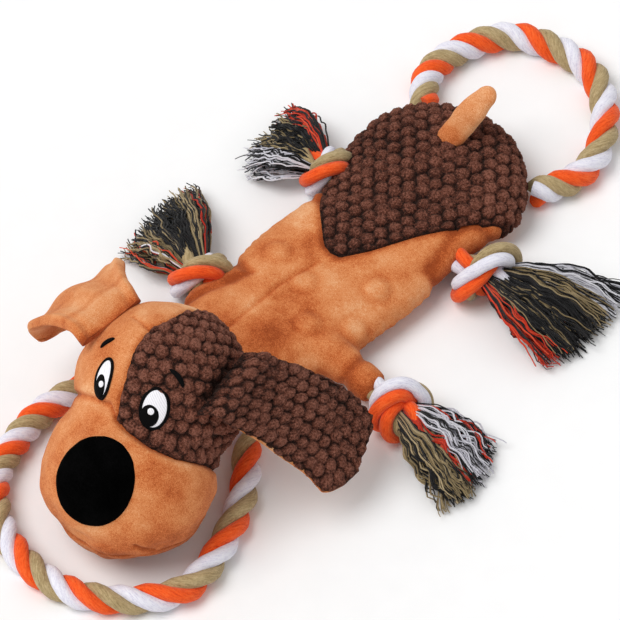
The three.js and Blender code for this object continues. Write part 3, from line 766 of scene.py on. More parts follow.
@dataclass(frozen=True)
class PopcornPlush:
    """Brown plush of round raised tufts, with painted shade in the gaps between them."""

    name: str
    stops: tuple[tuple[float, Colour], ...]

    def material(self) -> bpy.types.Material:
        """The plush material, coloured by the height of each tuft, which paints shade into the gaps."""
        bench = Bench(self.name)
        loops = bench.noise(720, 5, 0.8)
        specks = bench.noise(1500, 3, 0.7)
        drift = bench.noise(60, 2)
        # Low tuft height paints shade into the gaps, and the shade value adds painted light and shade
        light = 0.72 * bench.value("height") + 2.6 * (loops - 0.5) + 1.5 * (specks - 0.5) + 0.3 * (drift - 0.5)
        colour = bench.ramp(light + bench.value("shade") * 0.25, self.stops)
        normal = bench.bump(specks, 0.8, 1.0, bench.bump(loops, 1.5, 1.0))
        return bench.finished(colour, 0.95, 0.12, normal, 0.18, tint=(214, 176, 160))


@dataclass(frozen=True)
class Strand:
    """A rope strand or yarn with fibres along it; its lay value holds the place around and along it."""

    name: str
    deep: Colour
    colour: Colour
    light: Colour
    fibre: float = 1.0

    def material(self) -> bpy.types.Material:
        """The fibre material."""
        bench = Bench(self.name)
        lay = bench.value("lay", 1)
        stretched = bench.node("ShaderNodeVectorMath", {"operation": "MULTIPLY"}, {0: lay, 1: (1.0, 1.0, 0.05)})
        fibres = bench.noise(4.5 * self.fibre, 4, 0.7, stretched)
        fine = bench.noise(13 * self.fibre, 3, 0.7, stretched)
        fluff = bench.noise(900, 3, 0.6)
        # The shade value adds painted shade on a rope strand's inward side, and a random tone to each yarn
        light = 0.5 + 1.1 * (fibres - 0.5) + 0.8 * (fine - 0.5) + 0.35 * (fluff - 0.5) + bench.value("shade")
        colour = bench.ramp(light, ((0.12, self.deep), (0.5, self.colour), (0.88, self.light)))
        normal = bench.bump(fine, 0.35, 0.7, bench.bump(fibres, 0.6, 0.6))
        return bench.finished(colour, 0.85, 0.2, normal, 0.15, 0.45)


@dataclass(frozen=True)
class Thread:
    """Satin stitch embroidery."""

    name: str
    colour: Colour
    deep: Colour
    gloss: float = 0.3

    def material(self) -> bpy.types.Material:
        """The thread material, with rows of stitches."""
        bench = Bench(self.name)
        where = bench.node("ShaderNodeTexCoord", {}, {}, 3)
        rows = bench.node(
            "ShaderNodeTexWave",
            {"bands_direction": "DIAGONAL"},
            {"Vector": where, "Scale": 330.0, "Distortion": 1.5, "Detail": 2.0, "Detail Scale": 2.0},
            1,
        )
        fluff = bench.noise(1500, 3)
        colour = bench.ramp(0.7 * rows + 0.6 * fluff, ((0.1, self.deep), (0.55, self.colour)))
        normal = bench.bump(rows, 0.18, 0.5, bench.bump(fluff, 0.2, 0.4))
        return bench.finished(colour, 0.6, self.gloss, normal, self.gloss / 3)


@dataclass(frozen=True)
class Fibrefill:
    """Loose white polyester filling."""

    name: str = "polyester_filling"

    def material(self) -> bpy.types.Material:
        """The filling material."""
        bench = Bench(self.name)
        tufts = bench.noise(180, 6, 0.7)
        hairs = bench.noise(1500, 4, 0.7)
        colour = bench.ramp(0.6 * tufts + 0.4 * hairs, ((0.2, (205, 203, 196)), (0.7, (250, 249, 244))))
        normal = bench.bump(hairs, 0.4, 0.8, bench.bump(tufts, 2.0, 0.8))
        return bench.finished(colour, 1.0, 0.1, normal, 0.3)


@dataclass(frozen=True)
class Moulding:
    """Plastic that is moulded or drawn thin."""

    name: str
    colour: Colour
    shade: Colour
    roughness: float
    grain: float

    def material(self) -> bpy.types.Material:
        """The plastic material, with flow marks and fine grain."""
        bench = Bench(self.name)
        flow = bench.noise(120, 3)
        grain = bench.noise(2500, 2)
        colour = bench.ramp(flow, ((0.3, self.shade), (0.7, self.colour)))
        normal = bench.bump(grain, 0.05, self.grain, bench.bump(flow, 0.6, self.grain))
        return bench.finished(colour, self.roughness + 0.15 * grain, 0.5, normal)


class Paints:
    """Every finish of the toy, mixed once."""

    def __init__(self) -> None:
        """Mix the materials."""
        self.tan = ShortPlush("tan_plush_pile", (
            (0.02, (150, 66, 26)), (0.26, (192, 98, 48)), (0.5, (214, 131, 76)), (0.72, (226, 154, 102)),
            (0.95, (238, 184, 138)),
        ), contrast=1.15).material()
        self.popcorn = PopcornPlush("popcorn_plush_tufts", (
            (0.0, (24, 10, 7)), (0.28, (66, 33, 24)), (0.6, (119, 68, 52)), (1.0, (172, 112, 92)),
        )).material()
        self.nose = ShortPlush("nose_plush_pile", (
            (0.1, (0, 0, 0)), (0.5, (3, 3, 3)), (0.95, (12, 11, 12)),
        ), sheen=0.0, gloss=0.01).material()
        self.white_thread = Thread("white_satin_thread", (248, 246, 250), (205, 202, 212)).material()
        self.black_thread = Thread("black_satin_thread", (8, 8, 9), (2, 2, 2), 0.05).material()
        self.strands = [
            Strand("rope_orange", (200, 48, 8), (250, 92, 30), (255, 126, 62)).material(),
            Strand("rope_khaki", (118, 98, 60), (180, 157, 114), (210, 190, 150)).material(),
            Strand("rope_white", (196, 192, 214), (238, 236, 247), (253, 253, 255)).material(),
        ]
        self.yarns = [
            Strand("yarn_black", (8, 8, 9), (26, 25, 26), (64, 62, 62), 0.7).material(),
            Strand("yarn_orange", (150, 26, 10), (222, 58, 30), (248, 110, 70), 0.7).material(),
            Strand("yarn_khaki", (100, 84, 54), (164, 143, 104), (202, 182, 144), 0.7).material(),
            Strand("yarn_white", (180, 178, 192), (228, 226, 234), (252, 252, 255), 0.7).material(),
        ]
        self.filling = Fibrefill().material()
        self.film = Moulding("squeaker_film", (222, 226, 230), (200, 205, 211), 0.3, 0.5).material()
        self.vinyl = Moulding("squeaker_vinyl", (236, 232, 220), (222, 216, 200), 0.42, 0.3).material()

    def plush(self, popcorn: bool = False) -> tuple[str, list[bpy.types.Material]]:
        """The slot and the materials of the brown plush with tufts, or of the tan one."""
        return ("popcorn_plush", [self.popcorn]) if popcorn else ("tan_plush", [self.tan])


@dataclass(frozen=True)
class Upholstery:
    """The plush of one part of the toy."""

    paints: Paints
    body: str
    wall: float
    fill: float

    def dress(self, skin: Skin, name: str, node: str, popcorn: bool = False, rise: Points | float = 0.0) -> None:
        """Give an open skin its cloth wall and make it a piece.

        Args:
            skin: the skin.
            name: the piece's name.
            node: the node that it stands for.
            popcorn: whether it is the brown plush with tufts.
            rise: how far its outer side stands out.
        """
        wall = skin.walled(self.wall, rise)
        wall.piece(name, self.body, *self.paints.plush(popcorn), [node], self.fill)


def tuft_heights(places: Points, pitch: float, row: float, seed: int) -> Points:
    """Round tufts in staggered rows.

    Args:
        places: two cloth coordinates for each point, in millimetres.
        pitch: distance between tufts in a row.
        row: distance between rows.
        seed: chooses how each tuft sits off its place.

    Returns:
        The height of the cloth at each point, from 0 in the gaps to 1 on the tufts.
    """
    dice = np.random.default_rng(seed)
    size = 128
    shift = dice.uniform(-0.11, 0.11, (size, size, 2))
    width = dice.uniform(0.52, 0.61, (size, size))
    tall = dice.uniform(0.86, 1.0, (size, size))
    crumbs = ripple(places, 1.7, seed + 1, 24)
    places = places + 0.035 * pitch * np.stack([ripple(places, 4.4, seed + 2), ripple(places, 4.4, seed + 3)], 1)
    line = np.round(places[:, 1] / row).astype(int)
    best = np.zeros(len(places))
    for r in (line - 1, line, line + 1):
        offset = 0.5 * (r % 2)
        column = np.round(places[:, 0] / pitch - offset).astype(int)
        for c in (column - 1, column, column + 1):
            jitter = shift[r % size, c % size]
            across = places[:, 0] / pitch - (c + offset + jitter[:, 0])
            along = (places[:, 1] / row - (r + jitter[:, 1])) * row / pitch
            far = (across ** 2 + along ** 2) / width[r % size, c % size] ** 2
            best = np.maximum(best, np.clip(1 - far, 0, 1) ** 0.5 * tall[r % size, c % size])
    return np.clip(best + 0.12 * crumbs * best, 0, 1.1)


class LegName(Enum):
    """The four legs."""

    FRONT_LEFT = "front_left"
    FRONT_RIGHT = "front_right"
    REAR_LEFT = "rear_left"
    REAR_RIGHT = "rear_right"


@dataclass(frozen=True)
class LegPlace:
    """Where a leg leaves its sleeve, and how its strands and yarns lie.

    Cuff is how far before the hinge the sleeve ends. Each group of yarns has the end of its place across the fan,
    from -1 to 1 counter-clockwise, and its shares of black, orange, khaki and white yarns.
    """

    name: LegName
    x: float
    y: float
    heading: float
    sleeve: float
    cloth: float
    cuff: float
    bulk: float
    reach: float
    slope: float
    fan: float
    fan_turn: float
    roll: float
    lay_start: float
    orders: tuple[int, int, int]
    seed: int
    groups: tuple[tuple[float, tuple[float, float, float, float]], ...]

    @property
    def hinge(self) -> Points:
        """Where the leg leaves its sleeve."""
        return np.array([self.x, self.y, LEG_HEIGHT])

    def placed(self, local: Points) -> Points:
        """Points of the leg's own frame in the pattern."""
        return turned_flat(local, self.heading) + self.hinge

    def local(self, points: Points) -> Points:
        """Points of the pattern in the leg's own frame."""
        return turned_flat(points - self.hinge, -self.heading)

    def shares(self, spread: float) -> tuple[float, float, float, float]:
        """The shares of the four yarn colours at a place across the fan."""
        return next(shares for end, shares in self.groups if spread <= end)


LEG_HEIGHT = 16.5
LEGS = (
    LegPlace(
        LegName.FRONT_LEFT, x=91.0, y=-23.5, heading=0.0, sleeve=45.0, cloth=20.0, cuff=7.0, bulk=1.0, reach=70.0,
        slope=-0.09, fan=22.0, fan_turn=1.0, roll=35.0, lay_start=-0.1, orders=(2, 1, 0), seed=3, groups=(
            (-0.6, (0.3, 0.0, 0.7, 0.0)), (-0.35, (0.5, 0.0, 0.45, 0.05)), (-0.22, (0.2, 0.8, 0.0, 0.0)),
            (0.0, (0.85, 0.0, 0.1, 0.05)), (0.5, (0.25, 0.0, 0.0, 0.75)), (1.0, (0.75, 0.05, 0.0, 0.2)),
        ),
    ),
    LegPlace(
        LegName.FRONT_RIGHT, x=-33.0, y=-38.5, heading=165.0, sleeve=14.0, cloth=6.0, cuff=3.0, bulk=0.95,
        reach=68.0, slope=-0.14, fan=26.0, fan_turn=-5.0, roll=15.0, lay_start=-0.35, orders=(1, 0, 2), seed=5,
        groups=(
            (-0.8, (0.4, 0.3, 0.3, 0.0)), (-0.45, (0.25, 0.0, 0.75, 0.0)), (0.4, (0.87, 0.0, 0.13, 0.0)),
            (0.75, (0.25, 0.0, 0.75, 0.0)), (1.0, (0.4, 0.2, 0.3, 0.1)),
        ),
    ),
    LegPlace(
        LegName.REAR_LEFT, x=55.5, y=74.0, heading=12.0, sleeve=18.0, cloth=6.0, cuff=3.5, bulk=1.18, reach=83.0,
        slope=0.05, fan=34.0, fan_turn=5.0, roll=135.0, lay_start=-0.1, orders=(0, 2, 1), seed=7, groups=(
            (-0.76, (0.35, 0.65, 0.0, 0.0)), (0.05, (0.88, 0.0, 0.12, 0.0)), (0.35, (0.45, 0.0, 0.55, 0.0)),
            (1.0, (0.5, 0.0, 0.0, 0.5)),
        ),
    ),
    LegPlace(
        LegName.REAR_RIGHT, x=-36.5, y=65.0, heading=178.0, sleeve=14.0, cloth=6.0, cuff=6.0, bulk=0.82,
        reach=58.0, slope=-0.1, fan=24.0, fan_turn=1.0, roll=0.0, lay_start=-0.35, orders=(1, 0, 2), seed=9,
        groups=(
            (-0.6, (0.35, 0.65, 0.0, 0.0)), (0.3, (0.8, 0.0, 0.2, 0.0)), (0.5, (0.3, 0.0, 0.7, 0.0)),
            (1.0, (0.5, 0.0, 0.0, 0.5)),
        ),
    ),
)


@dataclass
class Studio:
    """Camera, lamps and floor."""

    azimuth: float = 45.0
    elevation: float = 52.0
    distance: float = 7.0
    target: tuple[float, float, float] = (19.9, -12.1, 20.0)
    pixel: float = 0.55

    def build_camera(self) -> None:
        """Stand the camera where the photograph was taken."""
        a, e = math.radians(self.azimuth), math.radians(self.elevation)
        back = Vector((math.sin(a) * math.cos(e), -math.cos(a) * math.cos(e), math.sin(e)))
        aim = Vector((np.array(self.target) + SHIFT) * MM)
        data = bpy.data.cameras.new("camera")
        data.sensor_width = 36.0
        data.lens = self.distance / (620 * self.pixel * MM) * data.sensor_width
        data.clip_end = 20.0
        camera = bpy.data.objects.new("camera", data)
        camera.location = aim + back * self.distance
        camera.rotation_euler = back.to_track_quat("Z", "Y").to_euler()
        bpy.context.scene.collection.objects.link(camera)
        bpy.context.scene.camera = camera

    def build_light(self) -> None:
        """Hang one wide soft lamp in an even pale room."""
        world = bpy.data.worlds.new("studio")
        world.use_nodes = True
        ground = world.node_tree.nodes["Background"]
        ground.inputs["Color"].default_value = (1, 1, 1, 1)
        ground.inputs["Strength"].default_value = 0.56
        bpy.context.scene.world = world
        data = bpy.data.lights.new("soft_lamp", "SUN")
        data.energy = 1.75
        data.angle = math.radians(38)
        lamp = bpy.data.objects.new("soft_lamp", data)
        lamp.rotation_euler = Vector((-0.25, -0.5, 1.0)).to_track_quat("Z", "Y").to_euler()
        bpy.context.scene.collection.objects.link(lamp)
        bpy.context.scene.view_settings.view_transform = "Standard"

    def build_floor(self) -> None:
        """Lay the pale floor."""
        bpy.ops.object.select_all(action="DESELECT")
        bpy.ops.mesh.primitive_plane_add(size=12.0, location=(0, 0, -0.0002))
        floor = bpy.context.object
        floor.name = "floor"
        bench = Bench("pale_floor")
        colour = bench.ramp(bench.noise(60, 3), ((0.3, (251, 251, 251)), (0.7, (253, 253, 253))))
        floor.data.materials.append(bench.finished(colour, 1.0, 0.0))


@dataclass
class Rope:
    """Three-strand laid rope."""

    strand: float = 4.2
    offset: float = 4.2
    sides: int = 22
    step: float = 1.25

    def strands(
        self, line: Points, lay: Points, up: Points = UPWARD, orders: tuple[int, int, int] = (0, 2, 1)
    ) -> list[Skin]:
        """The three strands along a line.

        Args:
            line: evenly spaced points of the rope's centre.
            lay: turns of the strands about the centre at each point.
            up: a direction that the turns are counted from, across the line.
            orders: the thirds of a turn at which its strands start.

        Returns:
            One skin for each strand: orange, khaki, white.
        """
        tangent = unit(np.gradient(line, axis=0))
        side = unit(np.cross(tangent, up))
        top = unit(np.cross(side, tangent))
        turn = whole_turn(self.sides)
        # Seven yarns show as faint lobes, and the side that lies inward gets painted shade
        size = self.strand * (1 + 0.022 * np.cos(7 * turn))
        inward = -0.22 * smooth_step(-np.cos(turn), -0.35, 0.6)
        skins = []
        for order in orders:
            angle = 2 * math.pi * (lay + order / 3)
            # Around the line clockwise as it goes away
            radial = np.cos(angle)[:, None] * top + np.sin(angle)[:, None] * side
            centre = line + radial * self.offset
            along = unit(np.gradient(centre, axis=0))
            out = unit(radial - along * (radial * along).sum(1, keepdims=True))
            skin = tube(centre, out, np.cross(along, out), size[None], self.sides)
            travelled = travelled_along(centre)
            skin.values["lay"] = strand_lay(turn, travelled, travelled[-1])
            skin.values["shade"] = np.r_[np.tile(inward, len(line)), 0, 0]
            skins.append(skin)
        return skins


@dataclass
class RopeLoops:
    """The two thick rope loops and their ends sewn into the body."""

    paints: Paints
    rope: Rope = field(default_factory=Rope)
    sewn: Rope = field(default_factory=lambda: Rope(3.6, 3.6, 14, 2.0))
    sewn_pitch: float = 38.0
    height: float = 8.5
    diameter: float = 17.0
    front_route: tuple[tuple[float, float], ...] = (
        (-17, -76.2), (-27, -102), (-36, -132), (-39.6, -155), (-37.6, -176), (-24.7, -210), (2, -231), (35, -238),
        (62, -233), (85, -216), (101, -191), (100, -172), (90, -143), (75, -118), (53, -94), (37, -76.2),
    )
    rear_route: tuple[tuple[float, float], ...] = (
        (-42, 140), (-56, 156), (-59, 178), (-46, 210), (-24, 222), (3, 225), (26, 214), (48, 187), (52, 165),
        (43, 140),
    )
    # Distance along the loop, and turns of the strands there
    front_lay: tuple[tuple[float, float], ...] = (
        (0, -2.25), (39, -1.29), (81, -0.25), (117, 0.85), (155, 2.02), (196, 2.97), (235, 3.94), (274, 4.84),
        (313, 5.59), (352, 6.31), (391, 7.06), (431, 7.95),
    )
    rear_lay: tuple[tuple[float, float], ...] = (
        (0, 0.01), (22, 0.82), (44, 1.59), (68, 2.3), (88, 2.84), (110, 3.43), (132, 4.01), (154, 4.5),
        (176, 5.01), (198, 5.44), (220, 5.93), (242, 6.69),
    )
    # How far across a sewn end goes, and how deep
    sewn_shape: tuple[tuple[float, float], ...] = (
        (0.02, 0.12), (0.12, 0.28), (0.35, 0.36), (0.65, 0.36), (0.88, 0.28), (0.98, 0.12),
    )

    def build_loop(
        self, name: str, route: Sequence[Sequence[float]], lay: Sequence[Sequence[float]], node: str, body: str
    ) -> None:
        """One free loop.

        Args:
            name: the piece's name.
            route: its centre line on the floor.
            lay: distances and turns of its strands.
            node: the node that it stands for.
            body: the body that it rides on.
        """
        line = along_curve([(x, y, self.height) for x, y in route], self.rope.step)
        travelled = travelled_along(line)
        places, turns = np.array(lay).T
        eased = averaged(np.interp(travelled, places, turns), 9, mode="reflect", reflect_type="odd")
        sag = 0.25 * ripple(line, 60, 11)[:, None] * np.array([0.6, 0.6, 0])
        skin = Skin.joined(self.rope.strands(line + sag, eased))
        skin.lift(0.05)
        obj = skin.piece(name, body, "rope", self.paints.strands, [node])

    def build(self) -> None:
        """Both loops."""
        self.build_loop("front_rope_strands", self.front_route, self.front_lay, "front_rope_loop", "front_loop")
        self.build_loop("rear_rope_strands", self.rear_route, self.rear_lay, "rear_rope_loop", "rear_loop")

    def build_hidden(self) -> None:
        """The lengths of rope inside the body, between the legs and at the ends of the loops."""
        ends = (("front", self.front_route, -76.2, 1), ("rear", self.rear_route, 140, -1))
        for end, route, seam, inward in ends:
            left, right = route[0][0], route[-1][0]
            self.sewn_rope(f"{end}_loop_sewn_end", [
                (left + (right - left) * across, seam + inward * (8.5 + 31.6 * depth), 11.0)
                for across, depth in self.sewn_shape
            ])
        for end, left, right in (("front", LEGS[0], LEGS[1]), ("rear", LEGS[2], LEGS[3])):
            first, last = (leg.placed(np.array([-leg.sleeve - 0.3, 0.0, 0.0])) for leg in (right, left))
            middle = (first + last) / 2
            middle[2] = 10.6
            self.sewn_rope(f"{end}_leg_cross_rope", [first, middle, last])

    def sewn_rope(self, node: str, controls: Sequence[Sequence[float]]) -> None:
        """A rope inside the body, cut to its node's box.

        Args:
            node: the node that it stands for.
            controls: points of its centre line.
        """
        rope = self.sewn
        line = along_curve(controls, rope.step)
        low, high = (np.array(corner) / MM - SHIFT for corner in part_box(node))
        low, high = low + 0.3, high - 0.3
        line = line[((line[:, :2] > low[:2]) & (line[:, :2] < high[:2])).all(axis=1)]
        reach = rope.strand + rope.offset
        line[:, 2] = np.clip(line[:, 2], low[2] + reach, high[2] - reach)
        skin = Skin.joined(rope.strands(line, travelled_along(line) / self.sewn_pitch))
        skin.piece(node + "_strands", "torso", "rope", self.paints.strands, [node])


@dataclass
class Body:
    """The stuffed body with its sleeves, cut into the panels that it is sewn from."""

    paints: Paints
    wall: float = 1.6
    fill: float = 0.7
    seam_height: float = 10.0
    voxel: float = 2.36
    roundness: float = 0.85
    middle: float = 8.0
    front: float = -72.0
    length: float = 226.0
    width: float = 106.0
    height: float = 34.0
    # Share of the length, then of the width to the left and to the right, and of the height
    stations: tuple[tuple[float, float, float, float], ...] = (
        (0, 0.34, 0.34, 0.94), (0.05, 0.37, 0.4, 0.96), (0.11, 0.385, 0.45, 0.93), (0.2, 0.43, 0.39, 0.86),
        (0.3, 0.46, 0.43, 0.83), (0.41, 0.46, 0.45, 0.84), (0.52, 0.445, 0.44, 0.86), (0.61, 0.42, 0.425, 0.9),
        (0.69, 0.43, 0.52, 0.95), (0.78, 0.46, 0.54, 0.99), (0.86, 0.42, 0.51, 1.0), (0.93, 0.29, 0.4, 0.96),
        (0.975, 0.15, 0.25, 0.8), (1.0, 0.03, 0.08, 0.45),
    )
    rump_edge: tuple[tuple[float, float], ...] = (
        (-75, 100), (-39.6, 56.7), (-22, 37.6), (-6, 24.0), (-1.7, 21), (4, 19.6), (10, 21), (18.6, 35.8),
        (30.6, 62.8), (44.4, 87.9), (54.8, 104.7), (80, 140),
    )
    squeaker_bumps: tuple[tuple[float, float], ...] = ((39, 21), (49, -6), (30, -24), (8, -5), (-18, 0.5))
    dorsal_seam: tuple[tuple[float, float], ...] = ((2.5, -72), (2.1, -53.5), (0.1, -18), (4.1, 14))

    def body_form(self) -> Skin:
        """The stuffed body without its sleeves."""
        table = np.array(self.stations)
        along = np.concatenate([np.linspace(0, 0.9, 60), np.linspace(0.9, 1, 24)[1:]])
        left, right, height = (np.interp(along, table[:, 0], table[:, column]) for column in (1, 2, 3))
        turn = whole_turn(96)
        across, up = (np.sign(wave) * np.abs(wave) ** self.roundness for wave in (np.cos(turn), np.sin(turn)))
        wide = np.where(across > 0, left[:, None], right[:, None]) * self.width
        tall = height * self.height + 0.5
        rings = np.stack([
            self.middle + across * wide,
            np.repeat((self.front + self.length * along)[:, None], len(turn), 1),
            np.maximum(-0.5 + tall[:, None] / 2 * (1 + up), 0.2),
        ], -1)
        return lofted(rings[:, ::-1])

    def sleeve_form(self, leg: LegPlace) -> Skin:
        """A leg's sleeve, as a closed tapering tube."""
        start, end = -leg.sleeve, -leg.cuff
        # Places along the leg and the sleeve's radius there
        profile = np.array([
            (start - 6, 10.0), (start, 12.0), (0.6 * start + 0.4 * end, 11.2), (end - 3.9, 10.3),
            (end - 1.3, 10.0), (end - 0.2, 9.2), (end, 7.8),
        ])
        line = profile[:, :1] * np.array([1.0, 0.0, 0.0])
        skin = tube(line, np.array([0.0, 1.0, 0.0]), UPWARD, profile[:, 1:], 40)
        skin.points = leg.placed(skin.points)
        return skin

    def rump_depth(self, points: Points) -> Points:
        """How far inside the rump patch's front edge each point is, below zero outside it."""
        edge = np.array(self.rump_edge)
        flat = points[:, :2]
        nearest = np.full(len(points), 1e9)
        for start, end in zip(edge[:-1], edge[1:]):
            run = end - start
            share = np.clip(((flat - start) @ run) / (run @ run), 0, 1)
            nearest = np.minimum(nearest, np.linalg.norm(flat - start - share[:, None] * run, axis=1))
        return np.where(points[:, 1] > np.interp(points[:, 0], edge[:, 0], edge[:, 1]), nearest, -nearest)

    def sleeve_depth(self, points: Points) -> Points:
        """How far inside the nearest sleeve's cloth each point is, below zero on the body."""
        depth = np.full(len(points), -1e9)
        for leg in LEGS:
            local = leg.local(points)
            depth = np.maximum(depth, np.minimum(local[:, 0] + leg.sleeve - leg.cloth, 21 - np.abs(local[:, 1])))
        over = points[:, 2] - self.seam_height
        return np.minimum(depth, np.maximum(1.5 - self.rump_depth(points), 3 - over))

    def shaped(self, skin: Skin) -> Skin:
        """Bumps, folds and seam valleys pressed into the smooth form, with painted light and shade on it."""
        points, normals = skin.points, skin.normals()
        top = smooth_step(normals[:, 2], 0.1, 0.7)
        rump = self.rump_depth(points)
        on_tan = smooth_step(-rump, 1, 8)
        rise = 0.55 * ripple(points, 46, 21) * on_tan + 0.3 * ripple(points, 17, 22) * on_tan * top
        # A random tone, painted light on top, and darker towards the front left
        shade = 0.25 * ripple(points, 60, 23) + 0.1 * top - 0.22 * smooth_step(points[:, 0] - points[:, 1], 0, 60)
        # The squeaker's cells under the back, with painted light on them and painted shade round them
        for number, (x, y) in enumerate(self.squeaker_bumps):
            far = np.hypot(points[:, 0] - x, points[:, 1] - y)
            rise += (1.9 - 0.15 * number) * (1 - smooth_step(far, 3.0, 9.3)) * top
            shade += (0.2 * (1 - smooth_step(far, 2, 7)) - 0.25 * bell(far - 8.4, 1.9)) * top
        # The seam along the back, with painted shade in it
        seam = np.array(self.dorsal_seam)
        beside = np.abs(points[:, 0] - np.interp(points[:, 1], seam[:, 1], seam[:, 0]))
        on_seam = top * smooth_step(-points[:, 1], -14, -6)
        rise += (0.5 * bell(beside - 3.5, 2) - 0.9 * bell(beside, 1.3)) * on_seam
        shade -= 0.35 * bell(beside, 1.2) * on_seam
        # The side seam and the puckers above it, with painted shade in the seam and under the body
        sleeve = self.sleeve_depth(points)
        side_seam = np.abs(points[:, 2] - self.seam_height)
        valley = bell(side_seam, 1.5) * smooth_step(-sleeve, -1, 3)
        pucker = np.sin(points[:, 1] * 0.75 + 2 * np.sin(points[:, 1] * 0.13)) * bell(side_seam - 4, 4)
        rise += 0.45 * pucker * smooth_step(-sleeve, 0, 6) - 1.1 * valley
        shade -= 0.5 * valley + 0.35 * smooth_step(-normals[:, 2], -0.35, 0.3)
        # The fold at each sleeve, with painted shade in it and over the sleeves
        fold = bell(sleeve, 3.4)
        rise -= 1.6 * fold
        shade -= 0.85 * fold + 0.5 * smooth_step(sleeve, -2, 4)
        # The edge of the rump patch, with painted shade along it
        raised = smooth_step(points[:, 2], 8, 11)
        rise -= 0.8 * bell(rump, 1.5) * raised
        shade -= 0.7 * bell(rump + 0.5, 2.6) * raised
        skin.values["shade"] = np.clip(shade, -1, 0.6)
        skin.push(rise)
        skin.lift(0.1)
        return skin

    def build(self) -> None:
        """Cut the form into its panels and dress them."""
        form = fused([self.body_form(), *[self.sleeve_form(leg) for leg in LEGS]], self.voxel)
        skin = self.shaped(form.eased(14).halved().eased(2))
        cloth = Upholstery(self.paints, "torso", self.wall, self.fill)
        over = skin.points[:, 2] - self.seam_height
        rump = self.rump_depth(skin.points)
        sleeve = self.sleeve_depth(skin.points)
        cloth.dress(skin.kept(np.minimum(-over, -sleeve)), "belly_plush", "belly_panel")
        cloth.dress(skin.kept(np.minimum(np.minimum(over, -rump), -sleeve)), "back_plush", "back_panel")
        for leg in LEGS:
            near = 60 - np.linalg.norm(leg.local(skin.points)[:, :2], axis=1)
            name = f"{leg.name.value}_sleeve"
            cloth.dress(skin.kept(np.minimum(sleeve, near)), f"{name}_plush", name)
        self.build_rump(cloth, skin.kept(np.minimum(np.minimum(over, rump), -sleeve)).halved())

    def build_rump(self, cloth: Upholstery, patch: Skin) -> None:
        """The popcorn patch over the rump.

        Args:
            cloth: the body's plush.
            patch: the patch, cut from the form.
        """
        points = patch.points
        depth = np.minimum(self.rump_depth(points), points[:, 2] - self.seam_height)
        # Rows of tufts run across the dog's diagonal and spread where the cloth falls away
        diagonal = np.array([[1, -1], [1, 1]]) / math.sqrt(2)
        outward = unit(points[:, :2] - np.array([8.0, 90.0]))
        drop = np.maximum(30 - points[:, 2], 0) * 0.6
        tufts = tuft_heights(((points[:, :2] + outward * drop[:, None]) @ diagonal)[:, ::-1], 7.8, 7.5, 31)
        brim = smooth_step(depth, -0.5, 2.5)
        patch.values["height"] = np.clip(tufts * (0.45 + 0.55 * brim), 0, 1)
        # Painted shade towards the patch's edge
        patch.values["shade"] = np.clip(patch.values["shade"] - 0.5 * (1 - brim), -1, 1)
        rise = (0.4 + 1.1 * brim) + (2.8 * tufts - 1.5) * (0.35 + 0.65 * brim)
        cloth.dress(patch, "rump_popcorn", "rump_patch", True, rise)


@dataclass(frozen=True)
class EarPlan:
    """One ear: its root on the head, its bent path in shares of its length, and how its cloth lies."""

    side: str
    turn: float
    raise_by: float
    lift: float
    path: tuple[tuple[float, float, float], ...]
    widths: tuple[float, ...]
    popcorn: bool
    seed: int
    grid: tuple[int, int]
    tip_width: float
    skew: float
    slant: float
    fullness: float
    bluntness: float
    flutter: float
    root_roll: float
    root_shade: float
    # How much painted light the whole ear gets
    tone: float


@dataclass(frozen=True)
class EarSheet:
    """An ear's bent sheet in the head's frame, from its root; rows run along the ear and columns across it."""

    line: Points
    places: Points
    travelled: Points
    share: Points
    across: Points
    half: Points
    along: Points
    up: Points
    wide: Points
    full: Points
    wave: Points

    @property
    def edge(self) -> Points:
        """How far each place is from the nearer side."""
        return (1 - np.abs(self.across))[None] * self.half[:, None]

    @property
    def end(self) -> Points:
        """How far each row is from the ear's end."""
        return (self.travelled[-1] - self.travelled)[:, None]


@dataclass(frozen=True)
class EyePlan:
    """One eye: the directions and half sizes of its parts, its roll and how far it stands out."""

    side: str
    place: tuple[float, float]
    half: tuple[float, float]
    roll: float
    pupil: tuple[float, float]
    pupil_half: tuple[float, float]
    glint: tuple[float, float]
    low: float


@dataclass(frozen=True)
class BrowPlan:
    """One brow: its direction, its half sizes, its roll and how far it stands out."""

    side: str
    place: tuple[float, float]
    half: tuple[float, float]
    roll: float
    low: float


@dataclass(frozen=True)
class Oval:
    """An oval seen from a centre inside the head: its direction, its half sizes and its roll in degrees."""

    centre: Points
    direction: Points
    half: tuple[float, float]
    roll: float = 0.0


